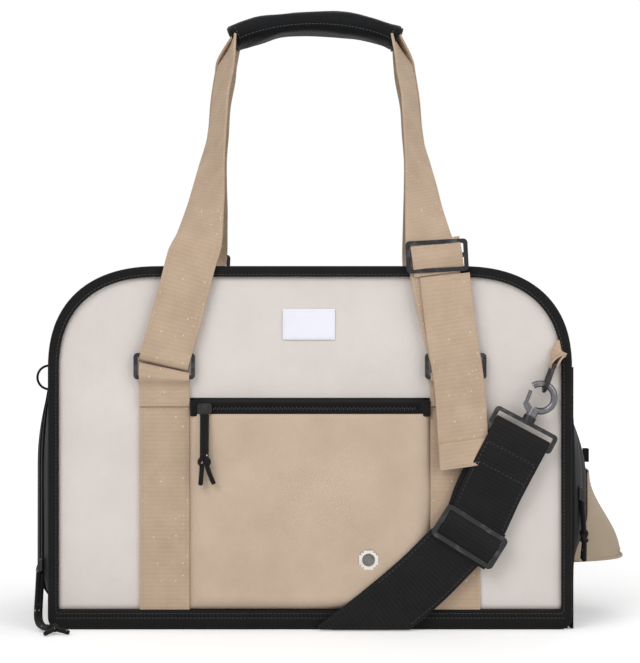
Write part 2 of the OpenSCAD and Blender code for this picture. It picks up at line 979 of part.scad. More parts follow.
adjuster_x = hook_x - 45;
adjuster_z = hook_z - 89;
adjuster_lean = 32;
adjuster_t = 3;
adjuster_y = strap_y + strap_t / 2 + SEAT + adjuster_t / 2 + 1.3;

module strap_adjuster() {
    color("#2b2a2a")
        translate([adjuster_x, -adjuster_y, adjuster_z])
            rotate([0, adjuster_lean, 0]) {
                flat_ring(strap_w + 9, 30, 4, adjuster_t);
                upright(-adjuster_t / 2, adjuster_t)
                    square([strap_w + 4, 4], center = true);
            }
}

// ---------- what is drawn ----------

base_panel();
base_board();
base_mat();
front_panel();
back_panel();
front_binding();
back_binding();
top_panel();
left_end_frame();
right_end_frame();
front_pocket();
pocket_zip();
pocket_grommet();
front_webbing();
back_webbing();
label_patch();
d_ring_tabs();
cord_loop();
right_end_tab();
shoulder_strap_front();
shoulder_strap_under();
shoulder_strap_back();
front_hook_base();
back_hook_base();
handle_front_left();
handle_front_right();
handle_back_left();
handle_back_right();
front_tail();
back_tail();
grip();
front_buckle();
back_buckle();
ring_front_left();
ring_front_right();
ring_back_left();
ring_back_right();
front_d_ring();
back_d_ring();
front_hook();
back_hook();
front_gate();
back_gate();
strap_adjuster();
pocket_slider();
pocket_pull();
left_door();
left_door_slider();
left_door_pull();
right_door();
end_flap();
right_door_slider();
right_door_pull();
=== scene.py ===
"""Soft-sided pet carrier bag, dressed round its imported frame. Metres, +Z up, front towards -Y."""

import logging
from contextlib import contextmanager
from dataclasses import dataclass
from enum import Enum
from functools import cache
from math import atan2, ceil, copysign, cos, exp, hypot, pi, radians, sin, tan
from typing import Any, Callable, Iterable, Iterator, Optional, Sequence, Union

import bmesh
import bpy
import numpy as np
from bmesh.types import BMEdge, BMesh
from bpy.types import Material, Node, NodeSocket, Object, World
from mathutils import Matrix, Vector, noise


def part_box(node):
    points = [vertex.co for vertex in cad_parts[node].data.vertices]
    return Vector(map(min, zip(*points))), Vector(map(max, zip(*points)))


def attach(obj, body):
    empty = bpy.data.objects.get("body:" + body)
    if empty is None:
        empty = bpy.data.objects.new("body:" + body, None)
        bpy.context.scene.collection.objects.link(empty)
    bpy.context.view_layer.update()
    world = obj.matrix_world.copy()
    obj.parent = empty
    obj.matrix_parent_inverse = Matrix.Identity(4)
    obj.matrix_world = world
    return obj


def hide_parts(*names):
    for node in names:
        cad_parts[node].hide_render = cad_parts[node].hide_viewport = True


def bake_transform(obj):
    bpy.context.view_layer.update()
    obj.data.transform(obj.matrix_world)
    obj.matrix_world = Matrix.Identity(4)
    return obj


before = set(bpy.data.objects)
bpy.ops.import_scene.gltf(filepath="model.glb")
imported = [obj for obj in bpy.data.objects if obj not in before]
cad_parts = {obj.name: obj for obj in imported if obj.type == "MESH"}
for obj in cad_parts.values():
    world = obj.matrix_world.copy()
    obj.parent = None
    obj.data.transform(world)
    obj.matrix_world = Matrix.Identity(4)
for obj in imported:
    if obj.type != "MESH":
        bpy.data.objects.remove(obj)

LOG = logging.getLogger("carrier")
MM = 0.001
SEAT = 0.3 * MM        # clearance between soft pieces that only lie on each other
UP = Vector((0, 0, 1))
WORDS = {-1: "left", 1: "right"}               # a side's sign and its word
FACES = {-1: "front", 1: "back"}
TAN_W = 42 * MM                                # width of the tan webbing
RING_R = 1.6 * MM                              # radius of a square ring's bars
TURNED = Matrix.Rotation(pi, 4, "Z")      # the back is the front turned half round

Place = Callable[[float, float], Vector]
Facing = Callable[[Vector], Vector]
Path = list[Vector]


# ---------- small maths ----------

def ease(t: float) -> float:
    """Goes smoothly from 0 to 1 as t does, and stays there outside."""
    return (1 - cos(pi * min(max(t, 0.0), 1.0))) / 2


def power(value: float, exponent: float) -> float:
    """Raises a number's size to a power and keeps its sign."""
    return copysign(abs(value) ** exponent, value)


def ruffle(x: float, y: float, size: float, seed: float) -> float:
    """Smooth noise over a plane.

    Args:
        x: First coordinate in metres.
        y: Second coordinate in metres.
        size: Size of one swell in metres.
        seed: Which of many patterns to read.

    Returns:
        A value between about -1 and 1.
    """
    return noise.noise(Vector((x / size, y / size, seed)))


def spline(rows: Sequence[Sequence[float]], count: int) -> list[list[float]]:
    """Runs a Catmull-Rom curve through rows of numbers.

    Args:
        rows: The key rows, each with as many numbers.
        count: Steps between two key rows.

    Returns:
        The rows on the curve, the key rows among them.
    """
    out = []
    last = len(rows) - 1
    for k in range(last):
        p0, p1, p2, p3 = (np.array(rows[min(max(i, 0), last)], float) for i in range(k - 1, k + 3))
        for i in range(count):
            t = i / count
            out.append(list(0.5 * (2 * p1 + (p2 - p0) * t + (2 * p0 - 5 * p1 + 4 * p2 - p3) * t ** 2
                                   + (3 * p1 - p0 - 3 * p2 + p3) * t ** 3)))
    out.append(list(rows[-1]))
    return out


def along(path: Sequence[Vector]) -> list[float]:
    """Gives the distance from a path's start to each of its points."""
    run = [0.0]
    for a, b in zip(path, path[1:]):
        run.append(run[-1] + (b - a).length)
    return run


# ---------- meshes ----------

def finish_mesh(name: str, bm: BMesh, finish: Optional["Finish"], smooth: bool = True) -> Object:
    """Turns a bmesh into an object at the origin.

    Args:
        name: Name of the piece.
        bm: The bmesh, which is freed.
        finish: Its finish, or None for none yet.
        smooth: Whether its faces shade smoothly.

    Returns:
        The new object.
    """
    bmesh.ops.recalc_face_normals(bm, faces=bm.faces)
    for f in bm.faces:
        f.smooth = smooth
    mesh = bpy.data.meshes.new(name)
    bm.to_mesh(mesh)
    bm.free()
    if finish:
        mesh.materials.append(finish.material())
    obj = bpy.data.objects.new(name, mesh)
    bpy.context.scene.collection.objects.link(obj)
    return obj


def middle(node: str) -> tuple[float, ...]:
    """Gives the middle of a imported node's box."""
    return tuple((a + b) / 2 for a, b in zip(*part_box(node)))


@contextmanager
def edited(obj: Object) -> Iterator[BMesh]:
    """Opens an object's mesh as a bmesh, and writes it back."""
    bm = bmesh.new()
    bm.from_mesh(obj.data)
    yield bm
    bm.to_mesh(obj.data)
    bm.free()


def close_ends(obj: Object) -> Object:
    """Fills the open rims of a tube."""
    with edited(obj) as bm:
        bmesh.ops.holes_fill(bm, edges=[e for e in bm.edges if e.is_boundary], sides=0)
        bmesh.ops.recalc_face_normals(bm, faces=bm.faces)
    return obj


def block(bm: BMesh, mid: Vector, size: Sequence[float]) -> None:
    """Adds a block to a bmesh, by its middle and its three sizes."""
    bmesh.ops.create_cube(bm, size=1, matrix=Matrix.Translation(mid) @ Matrix.Diagonal((*size, 1)))


def rounded(bm: BMesh, edges: Iterable[BMEdge], radius: float, segments: int = 1) -> None:
    """Rounds edges of a bmesh."""
    bmesh.ops.bevel(bm, geom=edges, offset=radius, offset_type="OFFSET", segments=segments,
                    profile=0.5, affect="EDGES", material=-1)


def coat(obj: Object, finish: "Finish", smooth: bool = False) -> Object:
    """Gives an object one finish, and if asked smooth faces."""
    obj.data.materials.clear()
    obj.data.materials.append(finish.material())
    if smooth:
        for f in obj.data.polygons:
            f.use_smooth = True
            f.material_index = 0
    return obj


def joined(name: str, parts: Iterable[Object]) -> Object:
    """Joins objects into one piece, keeping their materials.

    Args:
        name: Name of the piece.
        parts: Objects at the origin, which are used up.

    Returns:
        The joined object.
    """
    parts = list(parts)
    for o in parts:
        bake(o)
    with bpy.context.temp_override(active_object=parts[0], object=parts[0],
                                   selected_objects=parts, selected_editable_objects=parts):
        bpy.ops.object.join()
    parts[0].name = name
    return parts[0]


def bake(obj: Object) -> Object:
    """Applies an object's modifiers to its mesh."""
    if obj.modifiers:
        depsgraph = bpy.context.evaluated_depsgraph_get()
        mesh = bpy.data.meshes.new_from_object(obj.evaluated_get(depsgraph))
        obj.modifiers.clear()
        obj.data = mesh
    return obj


def thicken(obj: Object, thickness: float, offset: float = -1.0,
            round_edge: float = 0.0) -> Object:
    """Gives a sheet its thickness.

    Args:
        obj: The sheet.
        thickness: Thickness in metres.
        offset: -1 to grow inwards, 1 outwards, 0 both ways.
        round_edge: Radius of its rounded edges in metres, 0 for none.

    Returns:
        The same object.
    """
    mod = obj.modifiers.new("thickness", "SOLIDIFY")
    mod.thickness = thickness
    mod.offset = offset
    mod.use_even_offset = True
    if round_edge:
        mod = obj.modifiers.new("rounding", "BEVEL")
        mod.width = round_edge
        mod.segments = 2
        mod.limit_method = "ANGLE"
        mod.angle_limit = radians(50)
    return obj


def cloth_grid(name: str, finish: Optional["Finish"], us: Sequence[float],
               vs: Sequence[float], place: Place, closed_u: bool = False, closed_v: bool = False,
               keep: Optional[Callable[[float, float], bool]] = None) -> Object:
    """Makes a patch of cloth, with its threads' own coordinates as a UV map in metres.

    Args:
        name: Name of the piece.
        finish: Its finish, or None for none yet.
        us: Coordinates of its columns, across, in metres.
        vs: Coordinates of its rows, along, in metres.
        place: Gives the place of each crossing of a column and a row.
        closed_u: Whether its last column is sewn to its first.
        closed_v: Whether its last row is sewn to its first.
        keep: Tells which cells stay, by the middle of each.

    Returns:
        The new object.
    """
    bm = bmesh.new()
    uv = bm.loops.layers.uv.new("threads")
    bmesh.ops.create_grid(bm, x_segments=len(us) - 1, y_segments=len(vs) - 1, size=0.5)
    flat = {}
    for v in bm.verts:
        i = round((v.co.x + 0.5) * (len(us) - 1))
        j = round((v.co.y + 0.5) * (len(vs) - 1))
        flat[v] = (us[i], vs[j])
    for f in bm.faces:
        for loop in f.loops:
            loop[uv].uv = flat[loop.vert]
    if keep:
        gone = [f for f in bm.faces
                if not keep(*(sum(flat[v][k] for v in f.verts) / 4 for k in (0, 1)))]
        bmesh.ops.delete(bm, geom=gone, context="FACES")
    for v in bm.verts:
        v.co = place(*flat[v])
    if closed_u or closed_v:
        bmesh.ops.remove_doubles(bm, verts=bm.verts, dist=1e-6)
    return finish_mesh(name, bm, finish)


def steps(low: float, high: float, size: float, stops: Iterable[float] = ()) -> list[float]:
    """Cuts a stretch into even steps that also meet some stops.

    Args:
        low: Start of the stretch.
        high: End of the stretch.
        size: Largest step.
        stops: Values that a step has to end on.

    Returns:
        The values, rising.
    """
    marks = [low, *sorted(s for s in stops if low < s < high), high]
    out = [low]
    for a, b in zip(marks, marks[1:]):
        n = max(1, ceil((b - a) / size - 1e-6))
        out += [a + (b - a) * (i + 1) / n for i in range(n)]
    return out


# ---------- finishes ----------

def linear(hex_colour: str) -> tuple[float, float, float, float]:
    """Turns an sRGB hex colour such as "#dad3cd" to linear red, green, blue and alpha."""
    parts = [int(hex_colour[i:i + 2], 16) / 255 for i in (1, 3, 5)]
    r, g, b = (c / 12.92 if c <= 0.04045 else ((c + 0.055) / 1.055) ** 2.4 for c in parts)
    return (r, g, b, 1.0)


class Graph:
    """The node tree of a material or a world, whose calls add nodes and give their sockets."""

    def __init__(self, owner: Union[Material, World]) -> None:
        """Opens the owner's node tree."""
        owner.use_nodes = True
        self.owner, self.tree = owner, owner.node_tree

    def put(self, node: Node, inputs: dict[Union[str, int], Any]) -> None:
        """Links sockets to a node's inputs, or sets the inputs' values, by name or number."""
        for key, value in inputs.items():
            if isinstance(value, NodeSocket):
                self.tree.links.new(value, node.inputs[key])
            else:
                node.inputs[key].default_value = value

    def add(self, kind: str, out: Union[str, int] = 0, inputs: Optional[dict] = None,
            **settings: Any) -> NodeSocket:
        """Adds a node.

        Args:
            kind: The node's type, without the ShaderNode in front.
            out: Name or number of the output that is wanted.
            inputs: Values or sockets for its inputs.
            settings: Values for its own settings.

        Returns:
            The output's socket.
        """
        made = self.tree.nodes.new("ShaderNode" + kind)
        for key, value in settings.items():
            setattr(made, key, value)
        self.put(made, inputs or {})
        return made.outputs[out]

    def math(self, operation: str, *values: Any, clamp: bool = False) -> NodeSocket:
        """Adds a sum of one to three values."""
        return self.add("Math", 0, dict(enumerate(values)), operation=operation, use_clamp=clamp)

    def mix(self, share: NodeSocket, first: Any, second: Any) -> NodeSocket:
        """Mixes two colours, given as sockets or as sRGB hex."""
        first, second = (linear(c) if isinstance(c, str) else c for c in (first, second))
        return self.add("Mix", "Result", {"Factor": share, "A": first, "B": second},
                        data_type="RGBA")

    def span(self, value: NodeSocket, low: float, high: float, to_low: float,
             to_high: float) -> NodeSocket:
        """Maps the stretch from low to high to another stretch, and clamps it there."""
        return self.add("MapRange", 0, {"Value": value, "From Min": low, "From Max": high,
                                        "To Min": to_low, "To Max": to_high})

    def noise(self, place: NodeSocket, size: float, detail: float, **inputs: float) -> NodeSocket:
        """Adds noise with swells of a size in metres."""
        return self.add("TexNoise", "Fac", {"Vector": place, "Scale": 1 / size, "Detail": detail,
                                            **inputs})

    def surface(self, colour: NodeSocket, height: NodeSocket, relief: float, strength: float,
                inputs: dict[str, Any]) -> Material:
        """Ends a material.

        Args:
            colour: Its colour.
            height: Its relief, from 0 to 1.
            relief: Height of that relief in metres.
            strength: How strongly the relief shades.
            inputs: Other inputs of its shader.

        Returns:
            The material.
        """
        bump = self.add("Bump", "Normal",
                        {"Height": height, "Distance": relief, "Strength": strength})
        self.put(self.tree.nodes["Principled BSDF"],
                 {"Base Color": colour, "Normal": bump, **inputs})
        return self.owner

    def seen_directly(self) -> NodeSocket:
        """Gives 1 where the camera looks straight or through a reflection, and 0 elsewhere."""
        path = self.add("LightPath").node.outputs
        return self.math("MAXIMUM", path["Is Camera Ray"], path["Is Glossy Ray"])


class Weave(Enum):
    """How the threads of a cloth cross."""

    PLAIN = "plain"
    RIB = "rib"
    TWILL = "twill"
    BRAID = "braid"


@dataclass(frozen=True)
class Cloth:
    """A woven or knitted finish, by what its threads look like."""

    name: str
    light: str                  # colour of the raised threads
    dark: str                   # colour between them
    weave: Weave
    across_mm: float            # spacing of the threads across
    along_mm: float             # spacing of the threads along
    relief_mm: float            # how far the threads stand up
    contrast: float = 0.5       # how much the colour follows the threads
    blotch: float = 0.15        # how much it varies from place to place
    blotch_mm: float = 35.0     # size of those places
    fleck: str = ""             # colour of stray light fibres
    fleck_share: float = 0.0    # how much of the cloth they cover
    roughness: float = 0.85
    sheen: float = 0.15
    solid: bool = False         # reads the place in space instead of the threads' own map

    def build(self) -> Material:
        """Makes the material."""
        graph = Graph(bpy.data.materials.new(self.name))
        space = graph.add("TexCoord", "Object")
        threads = space if self.solid else graph.add("UVMap", "UV", uv_map="threads")
        height = self.relief(graph, threads)
        patches = graph.noise(space, self.blotch_mm * MM, 3.0, Roughness=0.6)
        fade = graph.span(patches, 0.3, 0.7, -self.blotch, self.blotch)
        tint = graph.math("MULTIPLY_ADD", height, self.contrast, 0.5 - self.contrast / 2)
        tint = graph.math("ADD", tint, fade, clamp=True)
        colour = graph.mix(tint, self.dark, self.light)
        if self.fleck:
            spots = graph.add("TexVoronoi", 0, {"Vector": threads, "Scale": 1 / (3.1 * MM),
                                                "Randomness": 1.0}, feature="F1").node.outputs
            small = graph.math("LESS_THAN", spots["Distance"], 0.2)
            chosen = graph.add("SeparateColor", "Red", {"Color": spots["Color"]})
            chosen = graph.math("LESS_THAN", chosen, self.fleck_share)
            colour = graph.mix(graph.math("MULTIPLY", small, chosen), colour, self.fleck)
        return graph.surface(colour, height, self.relief_mm * MM, 1.0, {
            "Roughness": self.roughness, "Specular IOR Level": 0.12, "Sheen Weight": self.sheen,
            "Sheen Roughness": 0.5})

    def relief(self, graph: Graph, threads: NodeSocket) -> NodeSocket:
        """Builds the height of the threads.

        Args:
            graph: The material's nodes.
            threads: Coordinates across and along in metres.

        Returns:
            A socket from 0 in the gaps to 1 on the threads.
        """
        split = graph.add("SeparateXYZ", 0, {"Vector": threads}).node.outputs
        across = graph.math("MULTIPLY", split["X"], pi / (self.across_mm * MM))
        lengthwise = graph.math("MULTIPLY", split["Z" if self.solid else "Y"],
                                pi / (self.along_mm * MM))
        if self.weave in (Weave.TWILL, Weave.BRAID):
            plus, minus = (graph.math(kind, across, lengthwise) for kind in ("ADD", "SUBTRACT"))
            across, lengthwise = (plus, minus) if self.weave is Weave.BRAID else (plus, across)
        a, b = graph.math("SINE", across), graph.math("SINE", lengthwise)
        if self.weave is Weave.RIB:
            both = graph.math("MULTIPLY_ADD", b, 0.75, graph.math("MULTIPLY", a, 0.25))
        else:
            both = graph.math("MULTIPLY", a, b)
        return graph.math("MULTIPLY_ADD", both, 0.5, 0.5)


@dataclass(frozen=True)
class Hard:
    """A metal or plastic finish with a fine grain."""

    name: str
    colour: str
    worn: str                   # colour of rubbed places
    metallic: float
    roughness: float
    grain_mm: float             # size of the surface's grain
    relief_mm: float = 0.01
    wear: float = 0.3           # how much of it is rubbed

    def build(self) -> Material:
        """Makes the material."""
        graph = Graph(bpy.data.materials.new(self.name))
        space = graph.add("TexCoord", "Object")
        grain = graph.noise(space, self.grain_mm * MM, 2.0)
        smear = graph.noise(space, 9 * MM, 4.0)
        rubbed = graph.span(smear, 0.65 - self.wear / 2, 0.8, 0.0, 1.0)
        colour = graph.mix(rubbed, self.colour, self.worn)
        gloss = graph.span(smear, 0.25, 0.75, self.roughness - 0.07, self.roughness + 0.07)
        return graph.surface(colour, grain, self.relief_mm * MM, 1.0,
                             {"Roughness": gloss, "Metallic": self.metallic})


@dataclass(frozen=True)
class Pile:
    """A brushed fleece, whose fibres stand in soft tufts."""

    name: str
    light: str
    dark: str
    tuft_mm: float

    def build(self) -> Material:
        """Makes the material."""
        graph = Graph(bpy.data.materials.new(self.name))
        space = graph.add("TexCoord", "Object")
        tufts = graph.add("TexVoronoi", "Distance",
                          {"Vector": space, "Scale": 1 / (self.tuft_mm * MM)}, feature="SMOOTH_F1")
        height = graph.math("MULTIPLY_ADD", graph.noise(space, 1.2 * MM, 4.0), 0.6, tufts)
        return graph.surface(graph.mix(height, self.dark, self.light), height, 1.2 * MM, 0.8,
                             {"Roughness": 0.95, "Sheen Weight": 0.5})


class Finish(Enum):
    """Every finish of the bag, named for what it is and how it was made."""

    # Polyurethane-coated cotton canvas, drawn at twice its thread spacing: smooth, faint grain
    CREAM_CANVAS = Cloth("coated_cream_canvas", "#dfd8d3", "#d3cbc5", Weave.PLAIN, 1.1, 1.1, 0.05,
                         contrast=0.5, blotch=0.3, blotch_mm=60, roughness=0.8, sheen=0.05)
    # Washed cotton canvas, drawn at twice its thread spacing: dry, with a visible grain
    TAN_CANVAS = Cloth("washed_tan_canvas", "#cdb9a4", "#bca793", Weave.PLAIN, 1.3, 1.3, 0.09,
                       contrast=0.6, blotch=0.3, blotch_mm=40, roughness=0.9, sheen=0.05)
    # The same tan canvas with painted shade: a darker copy of it for the end hood
    TAN_CANVAS_PAINTED_SHADE = Cloth("washed_canvas_painted_shade", "#b5a48f", "#a49482", Weave.PLAIN, 1.3, 1.3, 0.09,
                        contrast=0.6, blotch=0.3, blotch_mm=40, roughness=0.9, sheen=0.05)
    # Heavy cotton webbing with a fine twill face and stray pale fibres
    TAN_WEBBING = Cloth("cotton_twill_webbing", "#c3ac95", "#b29b85", Weave.TWILL, 1.6, 1.8, 0.12,
                        contrast=0.5, blotch=0.35, blotch_mm=22, fleck="#dccebb",
                        fleck_share=0.08, roughness=0.9, sheen=0.05)
    # Ribbed polyester binding tape: matt black with fine cross ribs
    BLACK_BINDING = Cloth("ribbed_binding_tape", "#191818", "#0f0e0e", Weave.RIB, 1.8, 1.2, 0.1,
                          contrast=0.7, blotch=0.3, blotch_mm=25, roughness=0.7, sheen=0.05)
    # Ballistic polyester, plain weave: flat black with a slight shine on the threads
    BLACK_FABRIC = Cloth("plain_black_polyester", "#131212", "#0a0a0a", Weave.PLAIN, 1.2, 1.2, 0.08,
                         contrast=0.7, blotch=0.3, blotch_mm=45, roughness=0.75, sheen=0.05)
    # Knitted polyester net: matt black thread
    BLACK_MESH = Cloth("knitted_net_thread", "#141414", "#0a0a0a", Weave.TWILL, 0.8, 0.8, 0.05,
                       contrast=0.6, blotch=0.2, roughness=0.8, sheen=0.05)
    # Nylon webbing with cross ribs: soft black with a dull sheen
    BLACK_WEBBING = Cloth("ribbed_nylon_webbing", "#1c1b1b", "#111010", Weave.RIB, 2.4, 1.7, 0.16,
                          contrast=0.7, blotch=0.3, blotch_mm=24, roughness=0.6, sheen=0.08)
    # Stretch knit over foam: dark, with a faint blue cast
    GRIP_FABRIC = Cloth("knitted_grip_wrap", "#151618", "#0b0c0d", Weave.PLAIN, 1.4, 1.4, 0.08,
                        contrast=0.6, blotch=0.4, blotch_mm=18, roughness=0.7, sheen=0.1,
                        solid=True)
    # Woven zip tape, finer than the binding
    ZIP_TAPE = Cloth("woven_zip_tape", "#151414", "#0c0b0b", Weave.RIB, 1.1, 1.1, 0.06,
                     contrast=0.6, blotch=0.2, roughness=0.75, sheen=0.05)
    # Satin-woven patch: smooth cool white
    LABEL = Cloth("satin_white_patch", "#f1f2fb", "#e6e7f1", Weave.RIB, 0.9, 0.9, 0.03,
                  contrast=0.5, blotch=0.2, roughness=0.55, sheen=0.05)
    # Braided polyester sheath with pale tracer yarns
    CORD = Cloth("braided_cord_sheath", "#201e1e", "#0e0d0d", Weave.BRAID, 1.6, 2.2, 0.25,
                 contrast=0.8, blotch=0.2, fleck="#cfcac4", fleck_share=0.14, roughness=0.75,
                 sheen=0.08)
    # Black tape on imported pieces, read by its place in space
    TAB_TAPE = Cloth("black_tab_tape", "#181717", "#0e0e0e", Weave.PLAIN, 1.3, 1.3, 0.08,
                     contrast=0.7, blotch=0.3, blotch_mm=25, roughness=0.75, sheen=0.05, solid=True)
    # Bonded nylon thread in two colours
    BLACK_THREAD = Hard("black_sewing_thread", "#2a2929", "#3a3939", 0.0, 0.6, 0.4, wear=0.2)
    TAN_THREAD = Hard("tan_sewing_thread", "#b09a84", "#c4b09a", 0.0, 0.7, 0.4, wear=0.2)
    # Moulded nylon coil: slightly glossy black teeth
    ZIP_COIL = Hard("moulded_nylon_coil", "#1b1b1b", "#2a2a2a", 0.0, 0.4, 0.6, wear=0.2)
    # Black electroplated zinc: satin black with grey highlights
    BLACK_METAL = Hard("black_plated_zinc", "#333233", "#5b5a5c", 0.8, 0.33, 0.5, wear=0.25)
    # Gunmetal-plated zinc: dark grey mirror, dulled by handling
    GUNMETAL = Hard("gunmetal_plated_zinc", "#68676b", "#8a898c", 1.0, 0.27, 0.5, wear=0.3)
    # Bright nickel plate on rolled brass
    NICKEL = Hard("rolled_nickel_plate", "#d9d6d2", "#c2beb9", 1.0, 0.22, 0.5, wear=0.3)
    # Pressed polyethylene sheet
    BOARD = Hard("pressed_stiffener_sheet", "#3a3836", "#45433f", 0.0, 0.6, 1.2, relief_mm=0.08)
    # Brushed polyester fleece
    FLEECE = Pile("brushed_fleece", "#b3aea6", "#6d6963", 4.0)

    @cache
    def material(self) -> Material:
        """Gives the finish's material, and makes it the first time."""
        return self.value.build()


def dress(finish: Finish, *nodes: str) -> None:
    """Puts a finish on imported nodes."""
    for name in nodes:
        coat(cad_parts[name], finish)


# ---------- the body's form ----------

@dataclass(frozen=True)
class Belly:
    """How an end swells outwards over its height."""

    bulge: float                        # how far it stands out
    foot: float                         # height where it begins
    rise: float                         # over which it comes out
    head: float                         # from the corners' start down to where it has gone
    fall: float                         # over which it goes back


BELLIES = {-1: Belly(24 * MM, 16 * MM, 24 * MM, 0.0, 80 * MM),
           1: Belly(28 * MM, 32 * MM, 60 * MM, 33 * MM, 60 * MM)}


@dataclass
class Form:
    """The body's form, which its panels, bindings and ends all follow."""

    half_w: float
    height: float
    half_d: float                       # middle to the inner faces of the two bindings
    front_y: float                      # outer face of the front panel
    corner_w: float = 96 * MM
    corner_h: float = 88 * MM
    fullness: float = 2.4               # 2 is an ellipse, more stands fuller at the shoulders
    foot_r: float = 10 * MM

    @classmethod
    def from_frame(cls) -> "Form":
        """Reads the form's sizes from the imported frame."""
        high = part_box("front_binding")[1]
        return cls(half_w=high[0], height=high[2], half_d=-high[1],
                   front_y=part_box("front_panel")[0][1])

    @property
    def curve_z(self) -> float:
        """Height at which the top corners begin."""
        return self.height - self.corner_h

    def half_width(self, z: float, inset: float) -> float:
        """Gives half of the width at a height, drawn in by inset."""
        rx, rz = self.corner_w - inset, self.corner_h - inset
        rise = min(max((z - self.curve_z) / rz, 0.0), 1.0)
        return self.half_w - self.corner_w + rx * (1 - rise ** self.fullness) ** (1 / self.fullness)

    def belly(self, side: int, y: float, z: float) -> float:
        """Gives how far the end at a side stands off the plane of the side bindings."""
        end = BELLIES[side]
        fall = min(max((self.curve_z - end.head - z) / end.fall, 0), 1)
        return (end.bulge * max(0.0, 1 - (y / self.half_d) ** 2)
                * ease((z - end.foot) / end.rise) * sin(pi / 2 * fall))

    def edge(self, inset: float, foot: float) -> Path:
        """Runs round the front outline, from the right foot over the top to the left foot.

        Args:
            inset: How far it is drawn in from the edge.
            foot: How far its bottom is drawn up from the floor.

        Returns:
            Points in the plane y = 0, as many for every inset.
        """
        hw, top = self.half_w - inset, self.height - inset
        rx, rz = self.corner_w - inset, self.corner_h - inset
        rf = max(self.foot_r - inset, 1.5 * MM)

        def turn(cx: float, cz: float, ax: float, az: float, start: float, n: int,
                 full: float = 2.0) -> Path:
            """Runs a quarter turn."""
            out = []
            for i in range(n + 1):
                a = radians(start + 90 * i / n)
                c, s = (power(v, 2 / full) if abs(v) > 1e-9 else 0.0
                        for v in (cos(a), sin(a)))
                out.append(Vector((cx + ax * c, 0, cz + az * s)))
            return out

        def fill(points: Path, n: int) -> Path:
            """Runs straight between two points, without its ends."""
            a, b = points
            return [a.lerp(b, i / n) for i in range(1, n)]

        right_foot = turn(hw - rf, foot + rf, rf, rf, -90, 8)
        right_top = turn(hw - rx, top - rz, rx, rz, 0, 26, self.fullness)
        left_top = turn(-hw + rx, top - rz, rx, rz, 90, 26, self.fullness)
        left_foot = turn(-hw + rf, foot + rf, rf, rf, 180, 8)
        return [*right_foot, *fill([right_foot[-1], right_top[0]], 30), *right_top,
                *fill([right_top[-1], left_top[0]], 36), *left_top,
                *fill([left_top[-1], left_foot[0]], 30), *left_foot,
                *fill([left_foot[-1], right_foot[0]], 62)]


# ---------- sewing ----------

@dataclass
class Seam:
    """A row of stitches that lies on cloth."""

    pitch: float = 3.2 * MM
    length: float = 2.3 * MM
    width: float = 0.55 * MM
    rise: float = 0.35 * MM
    taper: float = 0.35                 # how much shorter a stitch's top is

    def sew(self, bm: BMesh, path: Sequence[Vector], out: Facing) -> None:
        """Adds the row's stitches to a bmesh.

        Args:
            bm: The bmesh.
            path: Points along the row.
            out: Gives the direction that the cloth faces at a point.
        """
        run = along(path)
        count = max(1, int(run[-1] / self.pitch))
        gap = run[-1] / count
        k = 0
        for i in range(count):
            s = (i + 0.5) * gap
            while k < len(run) - 2 and run[k + 1] < s:
                k += 1
            t = (s - run[k]) / max(run[k + 1] - run[k], 1e-9)
            mid = path[k].lerp(path[k + 1], t)
            ahead = (path[k + 1] - path[k]).normalized()
            up = out(mid)
            up = (up - ahead * up.dot(ahead)).normalized()
            side = ahead.cross(up)
            turn = Matrix((side, ahead, up)).transposed().to_4x4()
            size = Matrix.Diagonal((self.width, self.length, self.rise, 1))
            made = bmesh.ops.create_cube(bm, size=1, matrix=Matrix.Translation(mid) @ turn @ size)
            ends = [v for v in made["verts"] if (v.co - mid).dot(up) > 0]
            for v in ends:
                v.co -= ahead * (v.co - mid).dot(ahead) * self.taper

    def rows(self, name: str, paths: Iterable[Sequence[Vector]], out: Facing,
             finish: Finish) -> Object:
        """Sews several rows as one piece.

        Args:
            name: Name of the piece.
            paths: Points along each row.
            out: Gives the direction that the cloth faces at a point.
            finish: The thread's finish.

        Returns:
            The new object.
        """
        bm = bmesh.new()
        for path in paths:
            self.sew(bm, path, out)
        return finish_mesh(name, bm, finish, smooth=False)


def facing(direction: Vector) -> Facing:
    """Gives a function that says the cloth faces one way everywhere."""
    return lambda point: direction


FRONT = facing(Vector((0, -1, 0)))


def turned(obj: Object, name: str) -> Object:
    """Copies a front piece to the back, turned half round.

    Args:
        obj: The front piece, without a parent.
        name: Name of the copy.

    Returns:
        The copy.
    """
    copy = obj.copy()
    copy.data = obj.data.copy()
    copy.name = name
    copy.data.transform(TURNED)
    bpy.context.scene.collection.objects.link(copy)
    return copy


